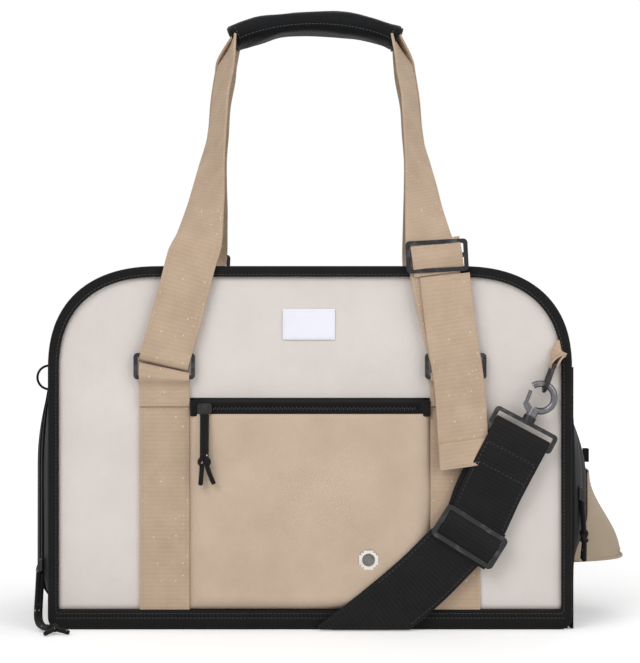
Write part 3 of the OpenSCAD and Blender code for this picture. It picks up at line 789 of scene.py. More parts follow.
@dataclass
class Strip:
    """A flat band of webbing through rows of place, turn, lean and width."""

    rows: list[list[float]]             # x, y, z, then turn and lean in degrees, then width
    thickness: float
    columns: int = 6

    def __post_init__(self) -> None:
        """Works out its centres and directions."""
        self.centres = [Vector(r[:3]) for r in self.rows]
        self.run = along(self.centres)
        self.sides, self.faces = [], []
        for r in self.rows:
            turn, lean = radians(r[3]), radians(r[4])
            self.sides.append(Vector((cos(lean) * cos(turn), cos(lean) * sin(turn),
                                      -sin(lean))))
            self.faces.append(Vector((-sin(turn), cos(turn), 0)))

    def point(self, row: int, across: float, out: float = 0.0) -> Vector:
        """Gives a point on the band.

        Args:
            row: Number of the row.
            across: From -1 at one edge to 1 at the other.
            out: How far it stands in front of the band's middle.

        Returns:
            The point.
        """
        return (self.centres[row] + self.sides[row] * (across * self.rows[row][5] / 2)
                - self.faces[row] * out)

    def build(self, name: str, finish: Finish) -> Object:
        """Makes the band as a piece with its thickness.

        Args:
            name: Name of the piece.
            finish: Its finish.

        Returns:
            The new object.
        """
        width = self.rows[0][5]
        us = steps(-width / 2, width / 2, width / self.columns)
        number = {s: k for k, s in enumerate(self.run)}
        obj = cloth_grid(name, finish, us, self.run,
                         lambda u, v: self.point(number[v], 2 * u / width))
        return thicken(obj, self.thickness, offset=0.0, round_edge=0.45 * MM)

    def cross(self, row: int, out: float, parts: int = 8) -> Path:
        """Gives points straight across a row, short of both edges, for stitches."""
        return [self.point(row, k / parts, out) for k in range(1 - parts, parts)]

    def edges(self, inset: float, out: float, first: int = 0, last: Optional[int] = None):
        """Gives a row of points beside each edge, for stitches.

        Args:
            inset: Distance from the edge.
            out: How far the row stands in front of the band's middle.
            first: First row.
            last: Last row, or None for the end.

        Returns:
            Two lists of points.
        """
        rows = range(first, len(self.rows) if last is None else last)
        return [[self.point(k, s * (1 - 2 * inset / self.rows[k][5]), out) for k in rows]
                for s in (-1, 1)]


def over_bar(name: str, node: str, lean: float, profile: Sequence[tuple[float, float]],
             width: float, thickness: float, finish: Finish) -> Object:
    """Makes a strap's layer that passes over a buckle's middle bar.

    Args:
        name: Name of the piece.
        node: The buckle's node.
        lean: The strap's lean in degrees.
        profile: Pairs of way along the strap and distance back from the buckle's middle, in mm.
        width: The strap's width.
        thickness: The layer's thickness.
        finish: Its finish.

    Returns:
        The new object.
    """
    x, y, z = middle(node)
    a = radians(lean)
    keys = [[x + d * MM * sin(a), y + out * MM, z + d * MM * cos(a), 0, lean, width]
            for d, out in profile]
    return Strip(spline(keys, 4), thickness, columns=8).build(name, finish)


# ---------- panels, bindings and top ----------

@dataclass
class Shell:
    """The canvas faces, the black top and foot, and the binding that joins them."""

    form: Form
    binding_w: float = 9 * MM
    band_h: float = 17 * MM
    panel_t: float = 3 * MM
    tuck: float = 2.5 * MM              # how far a panel runs under the binding
    foot_row: float = 0.58              # the foot band's stitches, as a share of its height

    def panel(self, name: str, seed: float) -> Object:
        """Makes one canvas face at the front, drawn in a little along its seams."""
        form = self.form
        inset = self.binding_w - self.tuck
        z0, z1 = self.band_h - self.tuck, form.height - inset
        us = steps(-1, 1, 1 / 40)
        vs = steps(z0, z1, 7 * MM)

        def place(u: float, z: float) -> Vector:
            """Puts a thread crossing on the face."""
            half = form.half_width(z, inset)
            edge = min(half * (1 - abs(u)), z1 - z, z - z0)
            pull = 0.9 * MM * (1 - ease(edge / (16 * MM)))
            x = u * half
            swell = 0.35 * MM * (1 + ruffle(x, z, 0.11, seed)) * ease(edge / 0.05)
            return Vector((x, form.front_y + pull + swell, z))

        obj = cloth_grid(name, Finish.CREAM_CANVAS, us, vs, place)
        uv = obj.data.uv_layers["threads"].data
        for loop in obj.data.loops:
            co = obj.data.vertices[loop.vertex_index].co
            uv[loop.index].uv = (co.x, co.z)
        return thicken(obj, self.panel_t - 0.9 * MM)

    def binding(self, name: str) -> Object:
        """Makes the tape round one face, widened to a band at the foot."""
        form = self.form
        low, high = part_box("front_binding")
        outer = form.edge(0.0, 0.0)
        inner = form.edge(self.binding_w, self.band_h)
        run = along(outer + outer[:1])
        number = {s: k for k, s in enumerate(run)}
        depth = high[1] - low[1]
        around = steps(0, 1, 1 / 28)

        def place(u: float, v: float) -> Vector:
            """Puts a point round the tape's section."""
            k = number[v] % len(outer)
            a = 2 * pi * u
            c, s = cos(a), sin(a)
            across = 0.5 + 0.5 * power(c, 0.45)
            out = power(s, 0.5)
            swell = 1 + 0.05 * ruffle(outer[k].x, outer[k].z, 0.03, 3.0)
            point = outer[k].lerp(inner[k], across)
            point.y = (low[1] + high[1]) / 2 - out * depth / 2 * min(swell, 1.0)
            return point

        obj = cloth_grid(name, Finish.BLACK_BINDING, around, run, place,
                         closed_u=True, closed_v=True)
        uv = obj.data.uv_layers["threads"].data
        for loop in uv:
            loop.uv = (loop.uv[0] * 0.034, loop.uv[1])
        return obj

    def binding_seams(self, name: str) -> Object:
        """Makes the stitches along the binding's inner edge, and along the foot band's top."""
        form = self.form
        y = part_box("front_binding")[0][1] - 0.1 * MM
        outer, inner = form.edge(0.0, 0.0), form.edge(self.binding_w, self.band_h)
        row = [a.lerp(b, 0.8) + Vector((0, y, 0)) for a, b in zip(outer, inner)]
        reach = form.half_w - 0.7 * self.binding_w
        foot = [Vector((x, y, self.foot_row * self.band_h)) for x in steps(-reach, reach, 10 * MM)]
        return Seam().rows(name, [row + row[:1], foot], FRONT, Finish.BLACK_THREAD)

    def top(self) -> Object:
        """Makes the black top that runs over the curves from end to end."""
        form = self.form
        edge = [p for p in form.edge(0.0, 0.0) if p.z >= form.curve_z - 1e-6]
        run = along(edge)
        number = {s: k for k, s in enumerate(run)}
        width = form.half_d + 1.5 * MM  # it is sewn under the bindings
        across = steps(-width, width, 9 * MM)
        centre = Vector((0, 0, form.curve_z))

        def place(y: float, v: float) -> Vector:
            """Puts a thread crossing on the top."""
            k = number[v]
            point = edge[k].copy()
            inward = (centre - point).normalized()
            near = form.half_d - abs(y)
            sag = 1.6 * MM * ease(near / 0.05) * (1 + 0.5 * ruffle(y, v, 0.09, 8.0))
            pull = 1.0 * MM * (1 - ease(near / (9 * MM)))
            point += inward * (sag + pull)
            point.y = y
            return point

        obj = cloth_grid("top_fabric", Finish.BLACK_FABRIC, across, run, place)
        return thicken(obj, self.panel_t - 0.6 * MM)

    def top_seams(self) -> Object:
        """Makes the double rows of stitches where the top is pieced at the curves."""
        form = self.form
        x, reach = form.half_w - form.corner_w, form.half_d - 5 * MM

        def height(y: float) -> float:
            """Gives the height of the top's face, which sags between the bindings."""
            dip = 1.7 * MM * ease((form.half_d - abs(y)) / 0.05)
            return form.height - 2.1 * MM - dip + 0.9 * MM

        paths = [[Vector((s * (x + d), y, height(y))) for y in steps(-reach, reach, 8 * MM)]
                 for s in WORDS for d in (-3 * MM, 3 * MM)]
        return Seam().rows("top_seams", paths, facing(UP), Finish.BLACK_THREAD)

    def build(self) -> None:
        """Makes and mounts the shell."""
        for side, seed in (("front", 1.0), ("back", 5.0)):
            face = self.panel(side + "_canvas", seed)
            tape = self.binding(side + "_tape")
            seams = self.binding_seams(side + "_tape_stitches")
            if side == "back":
                for o in (face, tape, seams):
                    o.data.transform(TURNED)
            mount(face, "bag", "cream_canvas", side + "_panel")
            mount(tape, "bag", "black_binding", side + "_binding")
            mount(seams, "bag", "black_binding")
        mount(self.top(), "bag", "black_binding", "top_panel")
        mount(self.top_seams(), "bag", "black_binding")


def mount(obj: Object, body: str, slot: str = "", *replaced: str) -> Object:
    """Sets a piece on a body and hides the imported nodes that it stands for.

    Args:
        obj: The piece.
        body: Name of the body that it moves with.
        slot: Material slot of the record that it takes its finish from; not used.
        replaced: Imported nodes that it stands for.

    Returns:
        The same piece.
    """
    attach(obj, body)
    if replaced:
        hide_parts(*replaced)
    LOG.info("%s rides on %s", obj.name, body)
    return obj


# ---------- ends ----------

@dataclass
class Ends:
    """The bellied black ends with their zipped net doors, and the canvas hood at the right."""

    form: Form
    cloth_t: float = 2.4 * MM
    net_cell: float = 3.4 * MM
    net_thread: float = 0.9 * MM
    hem: float = 15 * MM                # solid border of a door
    tooth_pitch: float = 2.6 * MM
    hood_low_z: float = 48 * MM
    hood_drop: float = 78 * MM
    hood_half_w: float = 62 * MM
    hood_stand: float = 30 * MM
    hood_fullness: float = 3.2          # the more, the flatter its middle
    hood_cut: tuple[float, float] = (181 * MM, 85 * MM)
    hood_area: float = 0.0117           # square metres of the flat cut, which narrows to its top
    canvas_t: float = 1.4 * MM

    def __post_init__(self) -> None:
        """Reads the doors' opening from the frame."""
        low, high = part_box("left_door")
        self.door = (low[1], high[1], low[2], high[2])

    def skin(self, y: float, z: float, out: float = 0.0, side: int = -1) -> Vector:
        """Gives a point on an end, standing off it by out."""
        return Vector((side * (self.form.half_w + self.form.belly(side, y, z) + out), y, z))

    def inside_door(self, y: float, z: float, grow: float = 0.0) -> bool:
        """Tells whether a point lies in the doors' opening, grown by a margin."""
        y0, y1, z0, z1 = self.door
        return y0 - grow < y < y1 + grow and z0 - grow < z < z1 + grow

    def sheet(self, name: str, finish: Finish, us: Sequence[float], vs: Sequence[float], side: int,
              out: Callable[[float, float], float],
              keep: Optional[Callable[[float, float], bool]] = None) -> Object:
        """Makes a sheet that follows an end.

        Args:
            name: Name of the piece.
            finish: Its finish.
            us: Coordinates of its columns in Y.
            vs: Coordinates of its rows in Z.
            side: -1 for the left end, 1 for the right.
            out: Gives how far a crossing stands off the end.
            keep: Tells which cells stay.

        Returns:
            The new object, which faces outwards.
        """
        obj = cloth_grid(name, finish, us, vs,
                         lambda y, z: self.skin(y, z, out(y, z), side), keep=keep)
        if side > 0:
            obj.data.flip_normals()
        return obj

    def frame(self, side: int) -> Object:
        """Makes the fabric round a door."""
        form = self.form
        y0, y1, z0, z1 = self.door
        gap, side_lap, top_lap = 0.5 * MM, 1.5 * MM, 3 * MM
        width = form.half_d + side_lap
        us = steps(-width, width, 8 * MM, (y0 - gap, y1 + gap))
        vs = steps(0.3 * MM, form.curve_z + top_lap, 8 * MM, (z0 - gap, z1 + gap))

        def slack(y: float, z: float) -> float:
            """Gives how far the fabric stands out, which is inwards everywhere."""
            edge = min(form.half_d - abs(y), z, form.curve_z - z)
            dip = 0.8 * MM * (1 - ease(edge / (8 * MM)))
            wave = 0.35 * MM * (1 + ruffle(y, z, 0.05, 11.0 + side)) * ease(edge / 0.02)
            return -dip - wave

        obj = self.sheet("end_fabric_" + WORDS[side], Finish.BLACK_FABRIC, us, vs, side, slack,
                         lambda y, z: not self.inside_door(y, z))
        return thicken(obj, self.cloth_t)

    def door_hem(self, side: int) -> Object:
        """Makes the solid border of a door."""
        y0, y1, z0, z1 = self.door
        inner = (y0 + self.hem, y1 - self.hem, z0 + self.hem, z1 - self.hem)
        us = steps(y0, y1, 6 * MM, inner[:2])
        vs = steps(z0, z1, 6 * MM, inner[2:])
        obj = self.sheet("hem", Finish.BLACK_FABRIC, us, vs, side, lambda y, z: -0.3 * MM,
                         lambda y, z: not self.inside_door(y, z, -self.hem))
        return thicken(obj, self.cloth_t, round_edge=0.5 * MM)

    def net(self, side: int) -> Object:
        """Makes a door's open net as real threads."""
        y0, y1, z0, z1 = self.door
        m = self.hem - 2 * MM
        us = steps(y0 + m, y1 - m, self.net_cell)
        vs = steps(z0 + m, z1 - m, self.net_cell)
        obj = cloth_grid("net", Finish.BLACK_MESH, us, vs,
                         lambda y, z: self.skin(y, z, -1.4 * MM, side))
        mod = obj.modifiers.new("threads", "WIREFRAME")
        mod.thickness = self.net_thread
        mod.use_even_offset = False
        mod.use_boundary = True
        return obj

    def piping(self, side: int) -> Object:
        """Makes the rolled tape that covers the net's raw edge."""
        y0, y1, z0, z1 = self.door
        m = self.hem
        r = 12 * MM
        path = rounded_loop(y0 + m, y1 - m, z0 + m, z1 - m, r)
        points = [self.skin(y, z, 0.2 * MM, side) for y, z in path]
        return tube("piping", points, 1.5 * MM, Finish.BLACK_BINDING, closed=True, around=8)

    def teeth(self, side: int, grow: float, shift: float) -> Object:
        """Makes one row of zip teeth round a door's foot and sides.

        Args:
            side: -1 for the left end, 1 for the right.
            grow: How far the row lies outside the door's edge.
            shift: Where its first tooth starts, in metres along the row.

        Returns:
            The new object.
        """
        y0, y1, z0, z1 = self.door
        corner = 4 * MM
        route = [(y0 - grow, z1), (y0 - grow, z0 - grow), (y1 + grow, z0 - grow), (y1 + grow, z1)]
        bm = bmesh.new()
        for (ya, za), (yb, zb) in zip(route, route[1:]):
            length = hypot(yb - ya, zb - za) - 2 * corner
            count = int(length / self.tooth_pitch)
            for i in range(count):
                t = (corner + shift + i * self.tooth_pitch) / (length + 2 * corner)
                y, z = ya + (yb - ya) * t, za + (zb - za) * t
                mid = self.skin(y, z, 0.35 * MM, side)
                upright = abs(zb - za) > abs(yb - ya)
                size = Vector((1.3, 2.6, 1.3)) if upright else Vector((1.3, 1.3, 2.6))
                block(bm, mid, size * MM)
        rounded(bm, bm.edges[:], 0.3 * MM)
        return finish_mesh("teeth", bm, Finish.ZIP_COIL, smooth=False)

    def tape(self, side: int) -> Object:
        """Makes the zip tape that lies on the frame round the door."""
        y0, y1, z0, z1 = self.door
        near, far = 0.5 * MM, 8 * MM
        us = steps(y0 - far, y1 + far, 6 * MM, (y0 - near, y1 + near))
        vs = steps(z0 - far, z1, 6 * MM, (z0 - near,))
        obj = self.sheet("tape", Finish.ZIP_TAPE, us, vs, side, lambda y, z: 0.25 * MM,
                         lambda y, z: not (y0 - near < y < y1 + near and z > z0 - near))
        return thicken(obj, 0.7 * MM)

    def flange(self, side: int) -> Object:
        """Makes the tape inside the frame that covers the gap round the door."""
        y0, y1, z0, z1 = self.door
        lap, cover = 4 * MM, 6 * MM
        us = steps(y0 - cover, y1 + cover, 8 * MM, (y0 + lap, y1 - lap))
        vs = steps(z0 - cover, z1 + cover, 8 * MM, (z0 + lap, z1 - lap))
        obj = self.sheet("flange", Finish.ZIP_TAPE, us, vs, side,
                         lambda y, z: -self.cloth_t - 0.8 * MM,
                         lambda y, z: not self.inside_door(y, z, -lap))
        return thicken(obj, 0.7 * MM)

    def hood_stand_at(self, y: float, z: float) -> float:
        """Gives how far the hood stands off the door."""
        top = self.hood_low_z + self.hood_drop
        rise = min(max((top - z) / self.hood_drop, 0), 1)
        lift = (self.form.belly(1, 0, top) - self.form.belly(1, 0, z)
                + self.hood_stand * sin(pi / 2 * rise) ** 2)
        return 2 * SEAT + lift * (1 - abs(y / self.hood_half_w) ** self.hood_fullness)

    def hood(self) -> Object:
        """Makes the canvas hood that shades the foot of the right door."""
        top = self.hood_low_z + self.hood_drop
        us = steps(-self.hood_half_w, self.hood_half_w, 4 * MM)
        vs = steps(self.hood_low_z, top, 4 * MM)

        def place(y: float, z: float) -> Vector:
            """Puts a thread crossing on the hood."""
            low = 1 - ease((z - self.hood_low_z) / 0.04)
            wave = 0.9 * MM * ruffle(y, z, 0.035, 4.0) * ease((self.hood_half_w - abs(y)) / 0.02)
            return self.skin(y, z, self.hood_stand_at(y, z) + wave * (0.4 + low), 1)

        # The hood's canvas is the tan canvas darkened with painted shade
        obj = cloth_grid("hood_canvas", Finish.TAN_CANVAS_PAINTED_SHADE, us, vs, place)
        return thicken(obj, self.canvas_t, offset=1.0, round_edge=0.5 * MM)

    def hood_hem(self) -> Object:
        """Makes the turned hem at the hood's foot."""
        ys = steps(-self.hood_half_w + MM, self.hood_half_w - MM, 4 * MM)
        points = [self.skin(y, self.hood_low_z + 1.2 * MM,
                            self.hood_stand_at(y, self.hood_low_z) + 0.9 * MM, 1) for y in ys]
        # The hem takes the same painted-shade copy of the tan canvas
        return tube("hood_hem", points, 1.5 * MM, Finish.TAN_CANVAS_PAINTED_SHADE, around=8)

    def hood_seams(self) -> Object:
        """Makes the hood's stitches along its hem, its sides and its top."""
        out = 1.5 * MM

        def at(y: float, z: float) -> Vector:
            """Gives a point on the hood's face."""
            return self.skin(y, z, self.hood_stand_at(y, z) + out, 1)

        hw = self.hood_half_w - 4 * MM
        top = self.hood_low_z + self.hood_drop
        ys = steps(-hw, hw, 4 * MM)
        zs = steps(self.hood_low_z + 6 * MM, top - 4 * MM, 4 * MM)
        paths = [[at(y, self.hood_low_z + 7 * MM) for y in ys], [at(y, top - 4 * MM) for y in ys],
                 [at(-hw, z) for z in zs], [at(hw, z) for z in zs]]
        return Seam().rows("hood_stitches", paths, facing(Vector((1, 0, 0.3))),
                           Finish.TAN_THREAD)

    def build(self) -> None:
        """Makes and mounts both ends."""
        for side, word in WORDS.items():
            mount(self.frame(side), "bag", "black_fabric", word + "_end_frame")
            row = joined(word + "_zip_outer", [self.tape(side), self.flange(side),
                                               self.teeth(side, 1.6 * MM, 0.0)])
            mount(row, "bag", "zip_tape")
            door = joined(word + "_net_door", [
                self.door_hem(side), self.net(side), self.piping(side),
                self.teeth(side, -1.2 * MM, self.tooth_pitch / 2)])
            mount(door, word + "_door", "black_mesh", word + "_door")
        hood = mount(self.hood(), "end_flap", "flap_canvas", "end_flap")
        hem = mount(self.hood_hem(), "end_flap", "flap_canvas")
        seams = mount(self.hood_seams(), "end_flap", "flap_canvas")


def rounded_loop(x0: float, x1: float, y0: float, y1: float, r: float, n: int = 6):
    """Runs once round a rectangle with rounded corners.

    Args:
        x0: Low side.
        x1: High side.
        y0: Low end.
        y1: High end.
        r: Radius of its corners.
        n: Steps round a corner.

    Returns:
        Pairs of coordinates, evenly filled along the straights.
    """
    corners = [(x1 - r, y0 + r, -90), (x1 - r, y1 - r, 0), (x0 + r, y1 - r, 90),
               (x0 + r, y0 + r, 180)]
    turns = [[(cx + r * cos(a), cy + r * sin(a))
              for a in (radians(start + 90 * i / n) for i in range(n + 1))]
             for cx, cy, start in corners]
    out = []
    for turn, onward in zip(turns, turns[1:] + turns[:1]):
        (ax, ay), (bx, by) = turn[-1], onward[0]
        out += turn + [(ax + (bx - ax) * t, ay + (by - ay) * t) for t in (0.2, 0.4, 0.6, 0.8)]
    return out


def tube(name: str, path: Sequence[Vector], radius: float, finish: Finish,
         closed: bool = False, around: int = 10,
         radii: Optional[Sequence[float]] = None) -> Object:
    """Makes a round piece along a path, with a map of its length and girth in metres.

    Args:
        name: Name of the piece.
        path: Points along its middle.
        radius: Its radius.
        finish: Its finish.
        closed: Whether the path is a loop.
        around: Sides of its section.
        radii: A share of the radius at each point, or None for 1.

    Returns:
        The new object.
    """
    path = list(path)
    n = len(path)
    frames = []
    guide = Vector((0.31, 0.2, 0.93))  # leans to no axis, so no path runs along it
    for k, p in enumerate(path):
        ahead = (path[(k + 1) % n] - path[k - 1]) if closed else \
            (path[min(k + 1, n - 1)] - path[max(k - 1, 0)])
        ahead.normalize()
        guide = (guide - ahead * guide.dot(ahead)).normalized()
        frames.append((p, guide, ahead.cross(guide)))
    if closed:
        frames.append(frames[0])
    run = along([f[0] for f in frames])
    number = {s: k for k, s in enumerate(run)}
    girth = 2 * pi * radius
    us = steps(0, girth, girth / around)

    def place(u: float, v: float) -> Vector:
        """Puts a point on the skin."""
        p, side, up = frames[number[v]]
        a = u / radius
        r = radius * (radii[number[v]] if radii else 1)
        return p + side * (r * cos(a)) + up * (r * sin(a))

    obj = cloth_grid(name, finish, us, run, place, closed_u=True, closed_v=closed)
    return obj if closed else close_ends(obj)


# ---------- front pocket and label ----------

@dataclass
class Pocket:
    """The canvas front pocket with its zip, its grommet and the bare label above it."""

    form: Form
    puff: float = 7 * MM
    fullness: int = 16                  # the more, the steeper its puff rises at the sides
    grommet_r: float = 9.6 * MM
    hole_r: float = 7.9 * MM
    label_w: float = 44 * MM
    label_h: float = 26 * MM

    def __post_init__(self) -> None:
        """Reads the pocket's place from the frame."""
        low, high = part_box("front_pocket")
        self.half_w, self.z0, self.z1 = high[0], low[2], high[2]
        self.zip_z1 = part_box("pocket_zip")[1][2]
        self.grommet = middle("pocket_grommet")[::2]
        self.label = (*middle("label_patch")[::2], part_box("label_patch")[0][1])

    def depth(self, x: float, z: float) -> float:
        """Gives how far the pocket stands off the panel."""
        side = 1 - min(abs(x) / self.half_w, 1.0) ** self.fullness
        foot = ease((z - self.z0) / (7 * MM) + 0.15)
        return SEAT + self.puff * side * foot

    def face(self, x: float, z: float, out: float = 0.0) -> Vector:
        """Gives a point on the pocket's outer face, standing off it by out."""
        return Vector((x, self.form.front_y - self.depth(x, z) - out, z))

    def canvas(self) -> Object:
        """Makes the pocket's canvas, slack between its seams."""
        gx, gz = self.grommet
        us = steps(-self.half_w, self.half_w, 4 * MM, [gx + k * 2 * MM for k in range(-6, 7)])
        vs = steps(self.z0, self.z1 + MM, 4 * MM, [gz + k * 2 * MM for k in range(-6, 7)])

        def place(x: float, z: float) -> Vector:
            """Puts a thread crossing on the pocket."""
            room = min(self.half_w - abs(x), z - self.z0, self.z1 - z,
                       hypot(x - gx, z - gz) - self.grommet_r)
            slack = 0.8 * MM * (0.8 + ruffle(x, z, 0.07, 21.0)) * ease(room / 0.03)
            return self.face(x, z, -slack)

        obj = cloth_grid("pocket_canvas", Finish.TAN_CANVAS, us, vs, place,
                         keep=lambda x, z: hypot(x - gx, z - gz) > self.hole_r)
        return thicken(obj, 1.2 * MM)

    def seams(self) -> Object:
        """Makes the pocket's two rows of stitches below the zip."""
        xs = steps(-self.half_w + 3 * MM, self.half_w - 3 * MM, 5 * MM)
        paths = [[self.face(x, self.z1 - down, 0.1 * MM) for x in xs]
                 for down in (2.2 * MM, 6 * MM)]
        return Seam().rows("pocket_stitches", paths, FRONT, Finish.TAN_THREAD)

    def tape(self) -> Object:
        """Makes the zip's two tapes and the strip that joins them to the panel above."""
        us = steps(-self.half_w, self.half_w, 5 * MM)
        mid = (self.z1 + self.zip_z1) / 2
        high = self.zip_z1
        profile = [(self.z1 - MM, -0.2), (self.z1, 0.5), (self.z1 + 1.5 * MM, 0.7), (mid - MM, 0.6),
                   (mid - 0.4 * MM, -0.2), (mid + 0.4 * MM, -0.2), (mid + MM, 0.6),
                   (high - 1.5 * MM, 0.7), (high - 0.3 * MM, 0.3), (high + 0.3 * MM, -1.2),
                   (high + 1.2 * MM, -3.4), (high + 2.4 * MM, -5.6), (high + 3.4 * MM, -6.9)]
        vs = [i * 1.6 * MM for i in range(len(profile))]
        number = {v: profile[i] for i, v in enumerate(vs)}

        def place(x: float, v: float) -> Vector:
            """Puts a point on the tape."""
            z, out = number[v]
            side = 1 - min(abs(x) / self.half_w, 1.0) ** self.fullness
            y = self.form.front_y - SEAT - (self.puff + out * MM) * side - 0.2 * MM
            return Vector((x, y, z))

        obj = cloth_grid("pocket_zip_tape", Finish.ZIP_TAPE, us, vs, place)
        return thicken(obj, 0.8 * MM)

    def ends(self) -> Object:
        """Makes the folded tabs over the zip's two ends."""
        bm = bmesh.new()
        mid = (self.z1 + self.zip_z1) / 2
        for x, w, h in ((-self.half_w + 5.2 * MM, 10 * MM, 13 * MM),
                        (self.half_w - 5 * MM, 11 * MM, 13.4 * MM)):
            y = self.face(x, mid).y - 0.5 * MM
            block(bm, Vector((x, y, mid)), (w, 2.2 * MM, h))
        rounded(bm, bm.edges[:], 0.9 * MM, 3)
        box_threads(bm)
        return finish_mesh("pocket_zip_ends", bm, Finish.BLACK_BINDING)

    def coil(self) -> Object:
        """Makes the zip's interlocked teeth."""
        bm = bmesh.new()
        mid = (self.z1 + self.zip_z1) / 2
        pitch = 1.7 * MM
        count = int((2 * self.half_w - 24 * MM) / pitch)
        for i in range(count):
            x = (i - (count - 1) / 2) * pitch
            z = mid + (0.5 if i % 2 else -0.5) * MM
            y = self.face(x, mid, 0.75 * MM).y
            block(bm, Vector((x, y, z)), (1.1 * MM, 1.2 * MM, 2.4 * MM))
        rounded(bm, bm.edges[:], 0.25 * MM)
        return finish_mesh("pocket_zip_coil", bm, Finish.ZIP_COIL, smooth=False)

    def patch(self) -> Object:
        """Makes the bare label, sewn down round its edge."""
        x0, z0, y = self.label
        us = steps(-self.label_w / 2, self.label_w / 2, 3 * MM)
        vs = steps(-self.label_h / 2, self.label_h / 2, 3 * MM)

        def place(u: float, v: float) -> Vector:
            """Puts a thread crossing on the label."""
            edge = min(self.label_w / 2 - abs(u), self.label_h / 2 - abs(v))
            return Vector((x0 + u, y + 0.3 * MM * (1 - ease(edge / (2.5 * MM))), z0 + v))

        obj = cloth_grid("label_satin", Finish.LABEL, us, vs, place)
        return thicken(obj, 0.7 * MM, round_edge=0.25 * MM)

    def patch_seam(self) -> Object:
        """Makes the label's stitches."""
        x0, z0, y = self.label
        m = 1.8 * MM
        loop = [Vector((x0 + u, y, z0 + v)) for u, v in
                rounded_loop(-self.label_w / 2 + m, self.label_w / 2 - m,
                             -self.label_h / 2 + m, self.label_h / 2 - m, 0.8 * MM, 2)]
        return Seam(pitch=2.4 * MM, length=1.7 * MM, width=0.4 * MM, rise=0.3 * MM).rows(
            "label_stitches", [loop + loop[:1]], FRONT, Finish.LABEL)

    def build(self) -> None:
        """Makes and mounts the pocket and the label."""
        mount(self.canvas(), "bag", "tan_canvas", "front_pocket")
        mount(self.seams(), "bag", "tan_canvas")
        mount(joined("pocket_zip_band", [self.tape(), self.ends(), self.coil()]), "bag", "zip_tape",
              "pocket_zip")
        mount(self.patch(), "bag", "label", "label_patch")
        mount(self.patch_seam(), "bag", "label")
        dress(Finish.NICKEL, "pocket_grommet")


def box_threads(bm: BMesh) -> None:
    """Gives a bmesh a threads map that follows each face's own plane, in metres."""
    uv = bm.loops.layers.uv.get("threads") or bm.loops.layers.uv.new("threads")
    bm.normal_update()
    for f in bm.faces:
        a = max(range(3), key=lambda k: abs(f.normal[k]))
        pair = {0: (1, 2), 1: (0, 2), 2: (0, 1)}[a]
        for loop in f.loops:
            loop[uv].uv = (loop.vert.co[pair[0]], loop.vert.co[pair[1]])


# ---------- tan webbing ----------

@dataclass
class Webbing:
    """The tan strips sewn up the faces, each folded round the lower bar of a square ring."""

    form: Form
    width: float = TAN_W
    thickness: float = 1.8 * MM
    bore_r: float = 2.6 * MM            # middle of a bar to the fold's inside
    loop_rise: float = 7.4 * MM         # how far the loose loop stands above its bar
    slant: float = 12.0                 # the loops lie aslant, square to the handle straps
    fold_down: float = 17 * MM          # length of the fold's end that is sewn over the strip

    def __post_init__(self) -> None:
        """Reads the strips' places from the frame."""
        low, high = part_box("front_webbing")
        self.strip_x = high[0] - self.width / 2
        self.bar_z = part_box("ring_front_left")[0][2] + RING_R
        self.bar_y = middle("ring_front_left")[1]
        self.low_z = low[2]

    def route(self) -> list[tuple[float, float]]:
        """Gives the strip's middle line in Y and Z, from the foot round the bar to its end."""
        t = self.thickness
        y = self.form.front_y - SEAT - t / 2
        r = self.bore_r + t / 2
        line = [(y, z) for z in steps(self.low_z - MM, self.bar_z, 8 * MM)]
        line += [(self.bar_y + r * cos(a),
                  self.bar_z + (self.loop_rise if sin(a) > 0 else r) * sin(a))
                 for a in (radians(15 * k) for k in range(1, 15))]
        over = y - t - 0.1 * MM
        last_y, last_z = line[-1]
        line += [((last_y + over) / 2, last_z - 2.2 * MM), (over, last_z - 5.5 * MM)]
        line += [(over, last_z - 5.5 * MM - d) for d in steps(0, self.fold_down, 5 * MM)[1:]]
        return line

    def strip(self, name: str, s: int) -> Object:
        """Makes one strip at the front, s is -1 at the left and 1 at the right."""
        route = self.route()
        points = [Vector((s * self.strip_x, y, z)) for y, z in route]
        run = along(points)
        number = {v: k for k, v in enumerate(run)}
        us = steps(-self.width / 2, self.width / 2, 5 * MM)

        def place(u: float, v: float) -> Vector:
            """Puts a thread crossing on the strip, whose loop leans towards its handle strap."""
            p = points[number[v]]
            aslant = ease((p.z - self.bar_z + 4 * MM) / (8 * MM)) * tan(radians(self.slant))
            return p + Vector((u, 0, s * u * aslant))

        obj = cloth_grid(name, Finish.TAN_WEBBING, us, run, place)
        return thicken(obj, self.thickness, offset=0.0, round_edge=0.5 * MM)

    def seams(self, name: str, s: int) -> Object:
        """Makes the strip's edge stitches and the boxed cross below its ring."""
        t = self.thickness
        y = self.form.front_y - SEAT - t
        over = y - t - 0.1 * MM
        x = s * self.strip_x
        hw = self.width / 2 - 3 * MM
        fold = self.route()[-1][1]
        top = fold + self.fold_down
        sides = [[Vector((x + k * hw, y, z)) for z in steps(self.low_z + MM, fold - 2 * MM, 8 * MM)]
                 for k in (-1, 1)]
        low, high = fold + 2.5 * MM, top
        box = [Vector((x + k * hw, over, z))
               for k, z in ((-1, low), (1, low), (1, high), (-1, high), (-1, low))]
        cross = [[box[0], box[2]], [box[1], box[3]]]
        return Seam().rows(name, [*sides, box, *cross], FRONT, Finish.TAN_THREAD)

    def build(self) -> None:
        """Makes and mounts the four strips."""
        for face in ("front", "back"):
            parts, threads = [], []
            for s, word in WORDS.items():
                parts.append(self.strip(f"{face}_strip_{word}", s))
                threads.append(self.seams(f"{face}_strip_{word}_stitches", s))
            if face == "back":
                for o in parts + threads:
                    o.data.transform(TURNED)
            for k, o in enumerate(parts):
                mount(o, "bag", "tan_webbing", *([face + "_webbing"] if k == 0 else []))
            for o in threads:
                mount(o, "bag", "tan_webbing")


# ---------- carrying handles ----------

